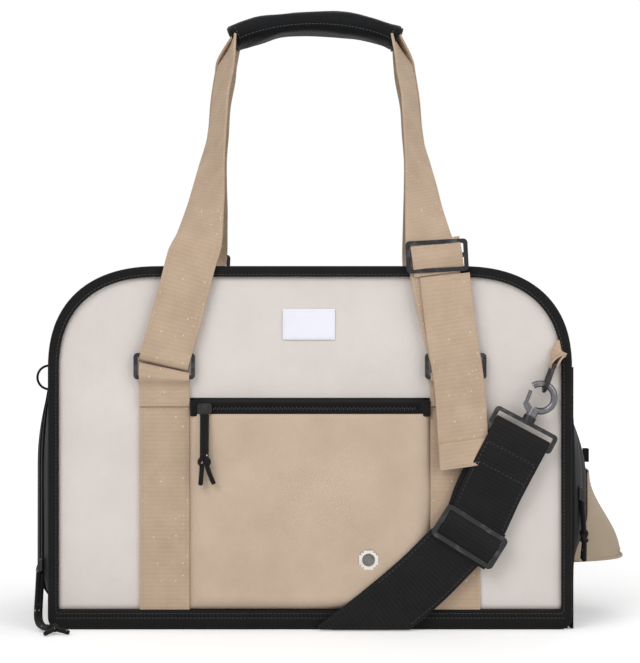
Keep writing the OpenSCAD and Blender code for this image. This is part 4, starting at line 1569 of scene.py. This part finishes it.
@dataclass(frozen=True)
class Arch:
    """The arch that the grip follows and the straps' upper ends meet."""

    radius: float = 213 * MM
    length: float = 156 * MM            # of the grip, along the arch
    height: float = 19 * MM             # of the grip's section
    skew: float = 4 * MM                # how far the grip hangs to the right


ARCH = Arch()


@dataclass
class Handles:
    """Four twisted straps from the rings to the grip, two with a sliding buckle and a tail."""

    form: Form
    width: float = TAN_W
    thickness: float = 2.2 * MM
    stand: float = 6.6 * MM             # from the panels' faces to the straps' middles
    tail_len: float = 162 * MM
    loop_drop: float = 7.6 * MM         # how far the loose loop hangs below its bar

    def __post_init__(self) -> None:
        """Reads the rings' and the grip's places from the frame."""
        self.ring_x, self.ring_y, _ = middle("ring_front_right")
        self.ring_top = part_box("ring_front_right")[1][2]
        self.panel_y = -self.form.front_y
        self.grip_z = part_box("grip")[1][2] - ARCH.height / 2

    def rows(self, s: int, f: int) -> list[list[float]]:
        """Gives one strap's rows.

        Args:
            s: -1 at the left, 1 at the right.
            f: -1 at the front, 1 at the back.

        Returns:
            Rows of place, turn, lean and width.
        """
        form = self.form
        end = ARCH.length / 2 / ARCH.radius
        top_x = ARCH.radius * sin(end) + s * f * 1.4 * MM
        rise = self.grip_z - ARCH.radius * (1 - cos(end)) - form.height
        y = self.panel_y + self.stand
        x = self.ring_x
        taut = [(0.11, 96, 130, 20, 14, 0.8, 9), (0.213, 93, 115, 37, 12, 0.9, 9),
                (0.313, 91, 100, 47, 9, 1, 8.6), (0.417, 89, 85, 57, 7, 1, 8),
                (0.522, 86.4, 70, 65, 5, 1, 7.6), (0.63, 84.8, 54, 68, 4, 1, 5.6),
                (0.74, 83.6, 39, 69, 4, 1, 4.2), (0.844, 80.6, 24, 68, 4, 1, 2.4),
                (0.906, 79, 15, 70, 3, 1, 1.4)]
        keys = [
            (x - 2 * MM, y, self.ring_top + SEAT, 0, 13, 0, 0),
            (x - 11 * MM, y, self.ring_top + 33 * MM, 0, 16, 0.1, 2 * MM),
            (x - 20.5 * MM, y, form.height + 2 * MM, 0, 18, 0.4, 6 * MM),
            (x - 23 * MM, y - 1.8 * MM, form.height + 12 * MM, 7, 17, 0.6, 8 * MM)]
        keys += [(kx * MM, ky * MM, form.height + part * rise, turn, lean, skew, out * MM)
                 for part, kx, ky, turn, lean, skew, out in taut]
        keys.append((top_x - 4 * MM, 3 * MM, form.height + rise + 1.5 * MM, 84, 0, 1, 0))
        return [[s * (kx + max(f, 0) * out) + ARCH.skew * skew, f * ky, z, -f * s * turn, -s * lean,
                 self.width]
                for kx, ky, z, turn, lean, skew, out in spline(keys, 6)]

    def strap(self, s: int, f: int) -> Object:
        """Makes one strap with the loop that holds its ring."""
        name = f"strap_{FACES[f]}_{WORDS[s]}"
        rows = self.rows(s, f)
        x, _, z0, _, lean, _ = rows[0]
        slope = (rows[1][0] - x) / (rows[1][2] - z0)
        bar_z = self.ring_top - RING_R
        bar_y = f * abs(self.ring_y)
        r = RING_R + self.thickness / 2 + 0.2 * MM
        loop = [(bar_y - f * (r - 0.6 * MM * min(1, k / 4)), bar_z + z)
                for k, z in enumerate(steps(2 * MM, 24 * MM, 6 * MM)[::-1])]
        loop += [(bar_y - f * r * cos(a), bar_z - self.loop_drop * sin(a))
                 for a in (radians(18 * k) for k in range(1, 10))]
        fold = [[x + (z - z0) * slope, y, z, 0, lean, self.width] for y, z in loop]
        band = Strip(fold + rows, self.thickness, columns=8)
        obj = band.build(name, Finish.TAN_WEBBING)
        n = len(fold)
        seams = Seam().rows("stitches", band.edges(3.2 * MM, self.thickness / 2, n + 3, n + 26)
                            + band.edges(3.2 * MM, -self.thickness / 2, n + 3, n + 26),
                            facing(Vector((0, f, 0))), Finish.TAN_THREAD)
        return joined(name, [obj, seams])

    def tail(self) -> Object:
        """Makes the loose tail below the front buckle, with its folded and sewn end."""
        y, top = middle("front_tail")[1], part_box("front_tail")[1][2]
        x = self.ring_x
        keys = [
            [x + 7 * MM, y - 0.6 * MM, top - self.tail_len, 0, -8, self.width],
            [x + 3 * MM, y - 0.5 * MM, top - 0.6 * self.tail_len, 0, -8, self.width],
            [x - 4 * MM, y + 0.3 * MM, top - 0.3 * self.tail_len, 0, -10, self.width],
            [x - 9.5 * MM, y + 0.9 * MM, top - 1.5 * MM, 0, -6, self.width]]
        rows = spline(keys, 10)
        band = Strip(rows, 1.8 * MM, columns=8)
        obj = band.build("tail", Finish.TAN_WEBBING)
        over = [[r[0], r[1] - 1.7 * MM, r[2], r[3], r[4], r[5] - 0.8 * MM] for r in rows[:5]]
        hem_band = Strip(over, 1.6 * MM, columns=8)
        hem = hem_band.build("hem", Finish.TAN_WEBBING)
        lines = [[p + UP * rise for p in hem_band.cross(row, 0.8 * MM, 6)]
                 for row, rise in ((4, -2.5 * MM), (0, 2.5 * MM))]
        seams = Seam().rows("stitches", lines, FRONT, Finish.TAN_THREAD)
        return joined("front_strap_tail", [obj, hem, seams])

    def build(self) -> None:
        """Makes the straps in place of the imported handles, and makes and mounts the tails and the
        buckles' wraps.
        """
        for s, side in WORDS.items():
            for f, face in FACES.items():
                obj = self.strap(s, f)
                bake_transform(obj)
                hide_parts(f"handle_{face}_{side}")
                LOG.info("%s bends from bag to grip", obj.name)
        tail = self.tail()
        mount(turned(tail, "back_strap_tail"), "bag", "tan_webbing", "back_tail")
        mount(tail, "bag", "tan_webbing", "front_tail")
        profile = ((-15, 0.7), (-11, 0.4), (-6, -1.6), (0, -3.0), (6, -1.6), (11, 0.6), (14, 1.4))
        wrap = over_bar("front_buckle_wrap", "front_buckle", -8, profile, self.width,
                        self.thickness - 0.2 * MM, Finish.TAN_WEBBING)
        mount(turned(wrap, "back_buckle_wrap"), "back_buckle", "tan_webbing")
        mount(wrap, "front_buckle", "tan_webbing")


# ---------- padded pieces ----------

def inflate(obj: Object, voxel: float, pressure: float, cap: float, frames: int = 14) -> None:
    """Swells a closed shape like stuffed cloth, by a cloth simulation with inner pressure.

    Args:
        obj: The closed shape, made a little too small.
        voxel: Size of the cells that it is remeshed with.
        pressure: The inner pressure.
        cap: The most that a point may move.
        frames: Length of the simulation.
    """
    mod = obj.modifiers.new("cells", "REMESH")
    mod.mode = "VOXEL"
    mod.voxel_size = voxel
    bake(obj)
    before = np.empty(len(obj.data.vertices) * 3)
    obj.data.vertices.foreach_get("co", before)
    mod = obj.modifiers.new("cloth", "CLOTH")
    mod.settings.quality = 6
    mod.settings.mass = 0.2
    mod.settings.tension_stiffness = 8
    mod.settings.compression_stiffness = 8
    mod.settings.bending_stiffness = 0.5
    mod.settings.use_pressure = True
    mod.settings.uniform_pressure_force = pressure
    mod.settings.effector_weights.gravity = 0
    mod.point_cache.frame_end = frames
    scene = bpy.context.scene
    for f in range(1, frames + 1):
        scene.frame_set(f)
    bake(obj)
    scene.frame_set(1)
    after = np.empty_like(before)
    obj.data.vertices.foreach_get("co", after)
    move = (after - before).reshape(-1, 3)
    size = np.linalg.norm(move, axis=1, keepdims=True)
    move *= np.minimum(1, cap / np.maximum(size, 1e-9))
    obj.data.vertices.foreach_set("co", (before.reshape(-1, 3) + move).ravel())
    obj.data.update()


@dataclass
class Grip:
    """The padded grip: a soft sleeve closed round the four straps."""

    form: Form
    depth: float = 47 * MM
    end_h: float = 5 * MM               # how much thicker the sleeve's ends are
    shy: float = 1.0 * MM               # how much smaller the shape is before it swells

    def __post_init__(self) -> None:
        """Reads the grip's height from the frame."""
        self.mid_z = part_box("grip")[1][2] - ARCH.height / 2

    def at(self, s: float, out: float, y: float) -> Vector:
        """Gives a point of the sleeve.

        Args:
            s: Distance along the arch from its middle.
            out: Distance outwards from the arch.
            y: Distance backwards.

        Returns:
            The point.
        """
        far = (2 * s / ARCH.length) ** 4
        if out < 0:
            out *= 1 + self.end_h / (ARCH.height / 2) * far
        a = (s + 0.16 * out * far * copysign(1, s)) / ARCH.radius
        r = ARCH.radius + out
        return Vector((ARCH.skew + r * sin(a), y, self.mid_z - ARCH.radius + r * cos(a)))

    def section(self, turn: float, less: tuple[float, float]) -> tuple[float, float]:
        """Gives a point of the sleeve's rounded section.

        Args:
            turn: How far round the section, from 0 to 1.
            less: How much smaller than the sleeve it is, in depth and in height.

        Returns:
            Its distances outwards and backwards.
        """
        a = 2 * pi * turn
        return (power(sin(a), 0.7) * (ARCH.height / 2 - less[1]),
                power(cos(a), 0.6) * (self.depth / 2 - less[0]))

    def sleeve(self) -> Object:
        """Makes the padded sleeve with its soft facets."""
        us = steps(0, 1, 1 / 28)
        half = ARCH.length / 2 - self.shy
        vs = steps(-half, half, 6 * MM)

        def place(u: float, v: float) -> Vector:
            """Puts a point on the sleeve before it swells."""
            return self.at(v, *self.section(u, (self.shy, self.shy)))

        obj = close_ends(cloth_grid("grip_sleeve", None, us, vs, place, closed_u=True))
        inflate(obj, 3.4 * MM, 3.0, 1.6 * MM)
        centre = Vector((ARCH.skew, 0, self.mid_z - ARCH.radius))
        for v in obj.data.vertices:
            rel = v.co - centre
            s = atan2(rel.x, rel.z) * ARCH.radius
            fold = sin(s / (13 * MM) + 1.2 * ruffle(s, v.co.y, 0.04, 31.0) + v.co.y * 55)
            v.co += v.normal * (0.9 * MM * fold * ease((half - abs(s)) / 0.012)
                                + 0.5 * MM * ruffle(s, v.co.y + v.co.z, 0.02, 33.0))
        mod = obj.modifiers.new("subdivision", "SUBSURF")
        mod.levels = mod.render_levels = 1
        return coat(obj, Finish.GRIP_FABRIC, smooth=True)

    def ends(self) -> Object:
        """Makes the bound edges at the sleeve's two ends."""
        parts = []
        for s in (-1, 1):
            ring = [self.at(s * (ARCH.length / 2 - 1.2 * MM),
                            *self.section(k / 40, (1.9 * MM, 1.8 * MM))) for k in range(40)]
            parts.append(tube("edge", ring, 0.9 * MM, Finish.GRIP_FABRIC, closed=True,
                              around=8))
        return joined("grip_edges", parts)

    def seams(self) -> Object:
        """Makes the stitches beside the ends and the closing edge along the front."""
        inset, reach = ARCH.length / 2 - 7 * MM, ARCH.height / 2 - 4 * MM
        parts = [[self.at(s * inset, q * reach, -self.depth / 2 + 0.4 * MM)
                  for q in (-1, -0.5, 0, 0.5, 1)] for s in WORDS]
        low = -ARCH.height / 2 + 5.4 * MM
        parts.append([self.at(v, low, -self.depth / 2 + 0.1 * MM)
                      for v in steps(-ARCH.length / 2 + 8 * MM, ARCH.length / 2 - 8 * MM, 6 * MM)])
        return Seam().rows("grip_stitches", parts, FRONT, Finish.BLACK_THREAD)

    def build(self) -> None:
        """Makes and mounts the grip."""
        sleeve = mount(self.sleeve(), "grip", "grip_fabric", "grip")
        mount(self.ends(), "grip", "grip_fabric")
        mount(self.seams(), "grip", "grip_fabric")


@dataclass
class Inside:
    """The stiffening board and the fleece mat on it."""

    shy: float = 1.2 * MM
    corner_r: float = 20 * MM

    def mat(self) -> Object:
        """Makes the fleece mat, quilted across in three places."""
        low, high = (Vector(p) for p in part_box("base_mat"))
        mid, half = (low + high) / 2, (high - low) / 2 - Vector.Fill(3, self.shy)
        bm = bmesh.new()
        block(bm, mid, 2 * half)
        upright = [e for e in bm.edges if abs(e.verts[0].co.z - e.verts[1].co.z) > half.z]
        rounded(bm, upright, self.corner_r, 6)
        rounded(bm, [e for e in bm.edges if e.calc_face_angle(0) > 1.0], 3.4 * MM, 3)
        obj = finish_mesh("fleece_mat", bm, None)
        inflate(obj, 4.2 * MM, 2.5, 1.6 * MM, frames=8)
        for v in obj.data.vertices:
            if v.normal.z > 0.3:
                channel = min(abs(v.co.x - x) for x in (-half.x / 2, 0, half.x / 2))
                v.co.z += (0.5 * MM * ruffle(v.co.x, v.co.y, 0.05, 40.0)
                           - 2.6 * MM * exp(-(channel / (5 * MM)) ** 2))
        return coat(obj, Finish.FLEECE, smooth=True)

    def build(self) -> None:
        """Makes and mounts the mat and dresses the board and the base."""
        mat = mount(self.mat(), "bag", "fleece", "base_mat")
        dress(Finish.BOARD, "base_board")
        dress(Finish.TAB_TAPE, "base_panel")


# ---------- shoulder strap ----------

@dataclass
class ShoulderStrap:
    """The black shoulder strap from its front hook, under the base and up to its back hook."""

    form: Form
    width: float = 50 * MM
    layer_t: float = 1.6 * MM
    hook_lean: float = 28.0
    bar_drop: float = 6.75 * MM         # from a hook base's middle to its lower bar
    bar_t: float = 4 * MM
    drop: float = 9.2 * MM              # from a hook base's middle to where the fold begins
    slack: float = 4 * MM               # how far the fold stands above its bar

    def __post_init__(self) -> None:
        """Works out where the strap runs."""
        self.hook_x = self.form.half_w - 42 * MM
        self.hook_z = self.form.height - 137 * MM
        self.hook_y = -self.form.front_y + 11 * MM
        self.y = -self.form.front_y + 8.4 * MM
        self.cross_x = self.form.half_w - 177 * MM
        self.reach = self.bar_t / 2 + self.layer_t / 2 + 0.15 * MM

    def front_rows(self) -> list[list[float]]:
        """Gives the rows of the front run, from below the floor to the hook."""
        w, x, z, y, lean = self.width, self.hook_x, self.hook_z, -self.y, self.hook_lean
        dx, dz = self.drop * sin(radians(lean)), self.drop * cos(radians(lean))
        keys = [
            [self.cross_x - 21 * MM, y - 1.0 * MM, -16 * MM, 0, 52, w],
            [self.cross_x - 1 * MM, y - 1.6 * MM, 0, 0, 52, w],
            [self.cross_x + 24 * MM, y - 1.8 * MM, 20 * MM, 0, 52, w],
            [x - 83 * MM, y - 1.4 * MM, 44 * MM, 0, 46, w],
            [x - 59 * MM, y - 0.8 * MM, z - 100 * MM, 0, 38, w],
            [x - 42 * MM, y - 0.2 * MM, z - 84 * MM, 0, 31, w],
            [x - 24 * MM, y + 0.9 * MM, z - 46 * MM, 0, lean, w],
            [x - dx, y, z - dz, 0, lean, w]]
        return spline(keys, 8)

    def fold(self, y: float) -> list[list[float]]:
        """Gives the rows that turn round a hook base's lower bar, from the front to the back."""
        lean = radians(self.hook_lean)
        r = self.reach
        out = []
        for k in range(0, 13):
            a = radians(15 * k)
            up = -self.bar_drop + (r + self.slack) * sin(a)
            out.append([self.hook_x + up * sin(lean), y - r * cos(a),
                        self.hook_z + up * cos(lean), 0, self.hook_lean, self.width])
        return out

    def front(self) -> Object:
        """Makes the front run: doubled from the hook to the adjuster, single below it."""
        rows = self.front_rows()
        t = self.layer_t
        last = len(rows) - 1
        split = next(k for k, r in enumerate(rows) if r[2] > self.hook_z - 89 * MM)
        front, under = [], []
        for k, r in enumerate(rows[:-1]):
            blend = ease((k - split) / (last - split))
            y = r[1] - t / 2 - 0.05 * MM
            front.append([r[0], y + (-self.hook_y - self.reach - y) * blend, *r[2:]])
            if k >= split - 1:
                shift = -5 * MM * sin(pi * min(1, (k - split + 1) / (last - split)))
                y = r[1] + t / 2 + 0.05 * MM
                y += (-self.hook_y + self.reach - y) * blend * 0.9
                under.append([r[0] + shift, y, *r[2:]])
        rows = front + self.fold(-self.hook_y) + under[::-1]
        band = Strip(rows, t, columns=8)
        obj = band.build("front_strap_band", Finish.BLACK_WEBBING)
        cut_at_floor(obj)
        n = len(front)
        seams = Seam(pitch=3.6 * MM).rows("stitches", [
            *band.edges(3 * MM, t / 2, 17, n - 2),
            band.cross(n - 3, t / 2), band.cross(n - 6, t / 2)],
            FRONT, Finish.BLACK_THREAD)
        return joined("front_strap_band", [obj, seams])

    def under(self) -> Object:
        """Makes the flat run in the channel under the base."""
        low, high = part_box("shoulder_strap_under")
        us = steps(low[0], high[0], 8 * MM)
        vs = steps(low[1], high[1], 10 * MM)
        obj = cloth_grid("under_strap_band", Finish.BLACK_WEBBING, us, vs,
                         lambda x, y: Vector((x, y, (low[2] + high[2]) / 2)))
        return thicken(obj, high[2] - low[2], offset=0.0, round_edge=0.4 * MM)

    def back(self) -> Object:
        """Makes the back run, up to the hook at the back."""
        w, x, z, y, lean = self.width, self.hook_x, self.hook_z, self.y, self.hook_lean
        dx, dz = self.drop * sin(radians(lean)), self.drop * cos(radians(lean))
        keys = [
            [self.cross_x + 21 * MM, y, -16 * MM, 0, -52, w],
            [self.cross_x, y, 0, 0, -52, w],
            [self.cross_x - 43 * MM, y, 32 * MM, 0, -54, w],
            [118 * MM - x, y - 1.2 * MM, z - 94 * MM, 0, -55, w],
            [68 * MM - x, y - 1.6 * MM, z - 60 * MM, 0, -54, w],
            [20 * MM - x, y - 1.4 * MM, z - 36 * MM, 0, -42, w],
            [dx - x, y, z - dz, 0, -lean, w]]
        rows = spline(keys, 8)
        last = len(rows) - 1
        for k, r in enumerate(rows):
            blend = ease((k - last + 12) / 12)
            r[1] += (self.hook_y + self.reach - r[1]) * blend
        turn = [[-r[0], -r[1], r[2], 0, -r[4], r[5]] for r in self.fold(-self.hook_y)]
        inner = [[r[0], r[1] - 2 * self.reach + 0.4 * MM, *r[2:]] for r in rows[-2:-9:-1]]
        band = Strip(rows[:-1] + turn + inner, self.layer_t, columns=8)
        obj = band.build("back_strap_band", Finish.BLACK_WEBBING)
        cut_at_floor(obj)
        seams = Seam(pitch=3.6 * MM).rows("stitches", [
            *band.edges(3 * MM, -self.layer_t / 2, 14, last - 2),
            band.cross(last - 4, -self.layer_t / 2)],
            facing(Vector((0, 1, 0))), Finish.BLACK_THREAD)
        return joined("back_strap_band", [obj, seams])

    def build(self) -> None:
        """Makes and mounts the strap."""
        mount(self.front(), "bag", "black_webbing", "shoulder_strap_front")
        mount(self.under(), "bag", "black_webbing", "shoulder_strap_under")
        mount(self.back(), "bag", "black_webbing", "shoulder_strap_back")
        profile = ((-17, 1.6), (-13, 1.3), (-8, -1.2), (0, -2.7), (8, -1.2), (13, 1.3), (17, 1.6))
        mount(over_bar("adjuster_wrap", "strap_adjuster", 32, profile, self.width, self.layer_t,
                       Finish.BLACK_WEBBING), "strap_adjuster", "black_webbing")


def cut_at_floor(obj: Object) -> None:
    """Takes off what a sheet has below the floor."""
    with edited(obj) as bm:
        bmesh.ops.bisect_plane(bm, geom=bm.verts[:] + bm.edges[:] + bm.faces[:], dist=1e-6,
                               plane_co=(0, 0, 1.2 * MM), plane_no=UP, clear_inner=True)


# ---------- cord pulls ----------

@dataclass
class Pull:
    """A zip pull: a doubled cord through the slider, tied in a knot with two loose tails."""

    name: str
    body: str
    side: Vector                        # direction from one run to the other
    route: Path                         # points from the slider to the knot's middle
    tails: tuple[Vector, Vector]        # ends of the two tails
    lay: str
    radius: float = 2 * MM
    spread: float = 1.75 * MM           # from the middle to each run

    def run(self, k: int) -> Path:
        """Gives the path of one run with its tail, k is -1 or 1."""
        knot = self.route[-1]
        tail = self.tails[0 if k < 0 else 1]
        keys = [p + self.side * (k * self.spread) for p in self.route]
        onward = (self.route[-1] - self.route[-2]).normalized()
        keys.append(knot + onward * 5 * MM + self.side * (k * self.spread * 1.1))
        keys.append((knot + onward * 5 * MM).lerp(tail, 0.55) + self.side * (k * self.spread * 0.4))
        keys.append(tail)
        path = [Vector(p) for p in spline([list(p) for p in keys], 5)]
        for _ in range(24):
            path[1:-1] = [b + (a + c - 2 * b) / 4 for a, b, c in zip(path, path[1:], path[2:])]
        return path

    def knot(self) -> Object:
        """Makes the knot from one closed trefoil of the same cord."""
        mid = self.route[-1]
        down = (self.route[-1] - self.route[-2]).normalized()
        front = self.side.cross(down).normalized()
        size = 1.72 * MM
        path = []
        for i in range(72):
            t = 2 * pi * i / 72
            a = sin(t) + 2 * sin(2 * t)
            b = cos(t) - 2 * cos(2 * t)
            c = -sin(3 * t)
            path.append(mid + (self.side * a * 0.82 + down * b * 0.9) * size
                        + front * c * size * 0.95)
        return tube(self.name + "_knot", path, self.radius * 0.98, Finish.CORD, closed=True,
                    around=10)

    def build(self) -> None:
        knot = mount(self.knot(), self.body, "black_cord")
        for k, word in ((-1, "a"), (1, "b")):
            path = self.run(k)
            radii = [1.0] * (len(path) - 1) + [0.82]
            cord = tube(f"{self.name}_cord_{word}", path, self.radius, Finish.CORD, around=12,
                        radii=radii)
            mount(cord, self.body, "black_cord", *([self.body] if k < 0 else []))
            round(along(path)[-1], 4)


@dataclass
class Pulls:
    """The three cord pulls: the pocket's, the right door's and the left door's on the floor."""

    form: Form
    radius: float = 2 * MM
    knot_r: float = 6 * MM
    slider_t: float = 2.6 * MM

    def hanging(self, name: str, body: str, start: Vector, out: Vector, drop: float,
                lean: float) -> Pull:
        """Makes a pull that hangs from its slider.

        Args:
            name: Name of the pull.
            body: Its body.
            start: Where it leaves the slider.
            out: Direction away from the bag.
            drop: Height of the slider above the knot's middle.
            lean: How far the knot stands out.

        Returns:
            The pull.
        """
        side = out.cross(UP).normalized()
        route = [start + out * (lean * ease(t)) - UP * (drop * t) for t in (0, 0.25, 0.5, 0.75, 1)]
        knot = route[-1]
        tails = (knot - side * 8 * MM - UP * 20 * MM - out * 0.4 * MM,
                 knot + side * 3.2 * MM - UP * 21 * MM - out * 0.4 * MM)
        return Pull(name, body, side, route, tails, "hanging")

    def build(self) -> None:
        """Makes the three pulls where the frame has them."""
        low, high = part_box("pocket_pull")
        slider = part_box("pocket_slider")
        start = Vector(((low[0] + high[0]) / 2, slider[1][1] - self.slider_t, high[2]))
        self.hanging("pocket_pull", "pocket_pull", start, Vector((0, -1, 0)), 38 * MM,
                     self.knot_r - self.slider_t).build()
        low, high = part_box("right_door_pull")
        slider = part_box("right_door_slider")
        start = Vector((slider[0][0] + self.slider_t, (low[1] + high[1]) / 2, high[2]))
        self.hanging("right_pull", "right_door_pull", start, Vector((1, 0, 0)), 30 * MM,
                     2 * MM).build()
        self.floor_pull().build()

    def floor_pull(self) -> Pull:
        """Gives the lower left pull, which comes down to the floor and lies on it."""
        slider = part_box("left_door_slider")
        x = slider[1][0] - self.slider_t + 0.5 * MM
        y = (slider[0][1] + slider[1][1]) / 2
        rest = self.radius + SEAT
        knot = Vector((-self.form.half_w + 6 * MM, self.form.front_y - 24 * MM, rest + 2.2 * MM))
        start = Vector((x, y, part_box("left_door_pull")[1][2] - 0.4 * MM))
        route = [start, Vector((x, y - 3.4 * MM, 35 * MM)), Vector((x, y - 9 * MM, 22 * MM)),
                 Vector((x + 0.2 * MM, y - 15.5 * MM, 10.5 * MM)),
                 Vector((x + 1.6 * MM, y - 23 * MM, 4.4 * MM)),
                 knot.lerp(Vector((x, y - 25 * MM, rest)), 0.35) - Vector((0, 0, 0.7 * MM)), knot]
        tails = (Vector((knot.x - 3 * MM, knot.y - 16 * MM, rest)),
                 Vector((knot.x + 16 * MM, knot.y - 9 * MM, rest)))
        side = Vector((-0.86, -0.5, 0)).normalized()
        return Pull("left_pull", "left_door_pull", side, route, tails, "loose")


# ---------- metal and small pieces ----------

@dataclass
class Hardware:
    """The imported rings, buckles, hooks, sliders and loops, each with its own finish."""

    form: Form
    tab_w: float = 12.6 * MM
    tab_t: float = 1.4 * MM
    leg_r: float = 1.7 * MM             # radius of a D-ring's straight leg

    def tab(self) -> Object:
        """Makes the front D-ring's tab, folded round its leg and twisted flat under the binding."""
        form = self.form
        leg = Vector((form.half_w - 17 * MM, form.front_y - 11 * MM, form.height - 83 * MM))
        end = Vector((form.half_w - 6.5 * MM, form.front_y - 1.7 * MM, form.height - 65 * MM))
        r = self.leg_r + self.tab_t / 2 + 0.2 * MM

        def centre(t: float) -> Vector:
            """Gives the tab's middle, from the leg at 0 to the binding at 1."""
            p = leg.lerp(end, t)
            p.y = leg.y + (end.y - leg.y) * ease(t / 0.75)
            return p

        def across(t: float) -> tuple[Vector, Vector]:
            """Gives the direction that the front layer faces, and that of its width."""
            ahead = (centre(t + 0.02) - centre(t - 0.02)).normalized()
            twist = ease(t / 0.75) * pi / 2
            flat = Vector((-ahead.z, 0, ahead.x)).normalized()
            face = flat * cos(twist) - Vector((0, sin(twist), 0))
            face = (face - ahead * face.dot(ahead)).normalized()
            return face, face.cross(ahead)

        rows = []
        for k in range(-10, 11):
            t = abs(k) / 10
            face, side = across(t)
            gap = r + (0.9 * MM - r) * ease(t / 0.4)
            if k == 0:
                ahead = side.cross(face)
                rows += [(leg + face * (r * cos(a)) - ahead * (r * sin(a)), side)
                         for a in (radians(15 * j) for j in range(13))]
            else:
                rows.append((centre(t) + face * copysign(gap, -k), side))
        run = along([p for p, _ in rows])
        number = {v: k for k, v in enumerate(run)}
        us = steps(-self.tab_w / 2, self.tab_w / 2, self.tab_w / 6)
        obj = cloth_grid("front_ring_tab", Finish.TAN_WEBBING, us, run,
                         lambda u, v: rows[number[v]][0] + rows[number[v]][1] * u)
        return thicken(obj, self.tab_t, offset=0.0, round_edge=0.35 * MM)

    def build(self) -> None:
        """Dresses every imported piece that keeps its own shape, and makes the D-rings' tabs."""
        tab = self.tab()
        mount(turned(tab, "back_ring_tab"), "bag", "tan_webbing")
        mount(tab, "bag", "tan_webbing", "d_ring_tabs")
        sides = FACES.values()
        black = [f"{s}_{n}" for s in sides for n in ("buckle", "d_ring", "hook_base")]
        black += [f"ring_{s}_{w}" for s in sides for w in WORDS.values()]
        black += ["strap_adjuster", "pocket_slider", "left_door_slider", "right_door_slider"]
        dress(Finish.BLACK_METAL, *black)
        dress(Finish.GUNMETAL, *[f"{s}_{n}" for s in sides for n in ("hook", "gate")])
        dress(Finish.TAB_TAPE, "cord_loop", "right_end_tab")


# ---------- studio ----------

@dataclass
class Studio:
    """The floor, the lamps and the camera."""

    form: Form
    distance: float = 1.6               # camera to the front face
    eye: float = 250 * MM               # height of the camera
    aim_x: float = 8.4 * MM             # how far right of the bag's middle it stands
    lens_mm: float = 107.15625          # for a sensor 36 mm wide

    def floor(self) -> None:
        """Lays the pale floor, which the camera sees a little brighter than the lamps make it."""
        bm = bmesh.new()
        bmesh.ops.create_grid(bm, x_segments=1, y_segments=1, size=6)
        graph = Graph(bpy.data.materials.new("pale_studio_floor"))
        shader = graph.tree.nodes["Principled BSDF"]
        graph.put(shader, {"Base Color": linear("#eeeeee"), "Roughness": 0.9,
                           "Specular IOR Level": 0.1})
        glow = graph.add("Emission", 0, {"Color": linear("#ffffff")})
        seen = graph.seen_directly()
        far = graph.add("VectorMath", "Value", {0: graph.add("TexCoord", "Object")},
                        operation="LENGTH")
        level = graph.span(far, 0.6, 2.6, 0.3, 0.6)
        graph.put(glow.node, {"Strength": graph.math("MULTIPLY", seen, level)})
        both = graph.add("AddShader", 0, {0: shader.outputs[0], 1: glow})
        graph.put(graph.tree.nodes["Material Output"], {"Surface": both})
        floor = finish_mesh("floor", bm, None)
        floor.data.materials.append(graph.owner)

    def world(self) -> None:
        """Lights the room evenly and shows it white behind the bag."""
        graph = Graph(bpy.data.worlds.new("studio"))
        bpy.context.scene.world = graph.owner
        seen = graph.seen_directly()
        strength = graph.add("MapRange", 0, {"Value": seen, "To Min": 0.5, "To Max": 1.0})
        graph.put(graph.tree.nodes["Background"],
                  {"Color": linear("#ffffff"), "Strength": strength})

    def lamp(self, name: str, place: tuple[float, float, float], size: float, watts: float) -> None:
        """Adds a square soft lamp that faces the bag.

        Args:
            name: Name of the lamp.
            place: Where it hangs.
            size: Its side in metres.
            watts: Its power.
        """
        data = bpy.data.lights.new(name, "AREA")
        data.size = size
        data.energy = watts
        obj = bpy.data.objects.new(name, data)
        obj.location = place
        aim = Vector((0, 0, 0.25)) - Vector(place)
        obj.rotation_euler = aim.to_track_quat("-Z", "Y").to_euler()
        bpy.context.scene.collection.objects.link(obj)

    def camera(self) -> None:
        """Puts the camera level in front of the bag."""
        data = bpy.data.cameras.new("camera")
        data.sensor_fit = "HORIZONTAL"
        data.sensor_width = 36
        data.lens = self.lens_mm
        data.clip_end = 50
        obj = bpy.data.objects.new("camera", data)
        obj.location = (self.aim_x, self.form.front_y - self.distance, self.eye)
        obj.rotation_euler = (pi / 2, 0, 0)
        bpy.context.scene.collection.objects.link(obj)
        bpy.context.scene.camera = obj

    def build(self) -> None:
        """Sets up the studio."""
        bpy.context.scene.view_settings.view_transform = "Standard"
        self.camera()
        self.floor()
        self.world()
        self.lamp("key", (-1.3, -2.2, 2.1), 1.8, 38)
        self.lamp("fill", (1.9, -1.8, 1.3), 1.8, 22)
        self.lamp("back_light", (0.6, 2.2, 1.9), 1.6, 22)


def main() -> None:
    """Builds the bag's pieces in order round the frame."""
    logging.basicConfig(level=logging.INFO, format="%(message)s")
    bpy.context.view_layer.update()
    form = Form.from_frame()
    Studio(form).build()
    Pulls(form).build()
    Shell(form).build()
    Ends(form).build()
    Pocket(form).build()
    Webbing(form).build()
    Handles(form).build()
    Grip(form).build()
    Inside().build()
    ShoulderStrap(form).build()
    Hardware(form).build()


if __name__ == "__main__":
    main()
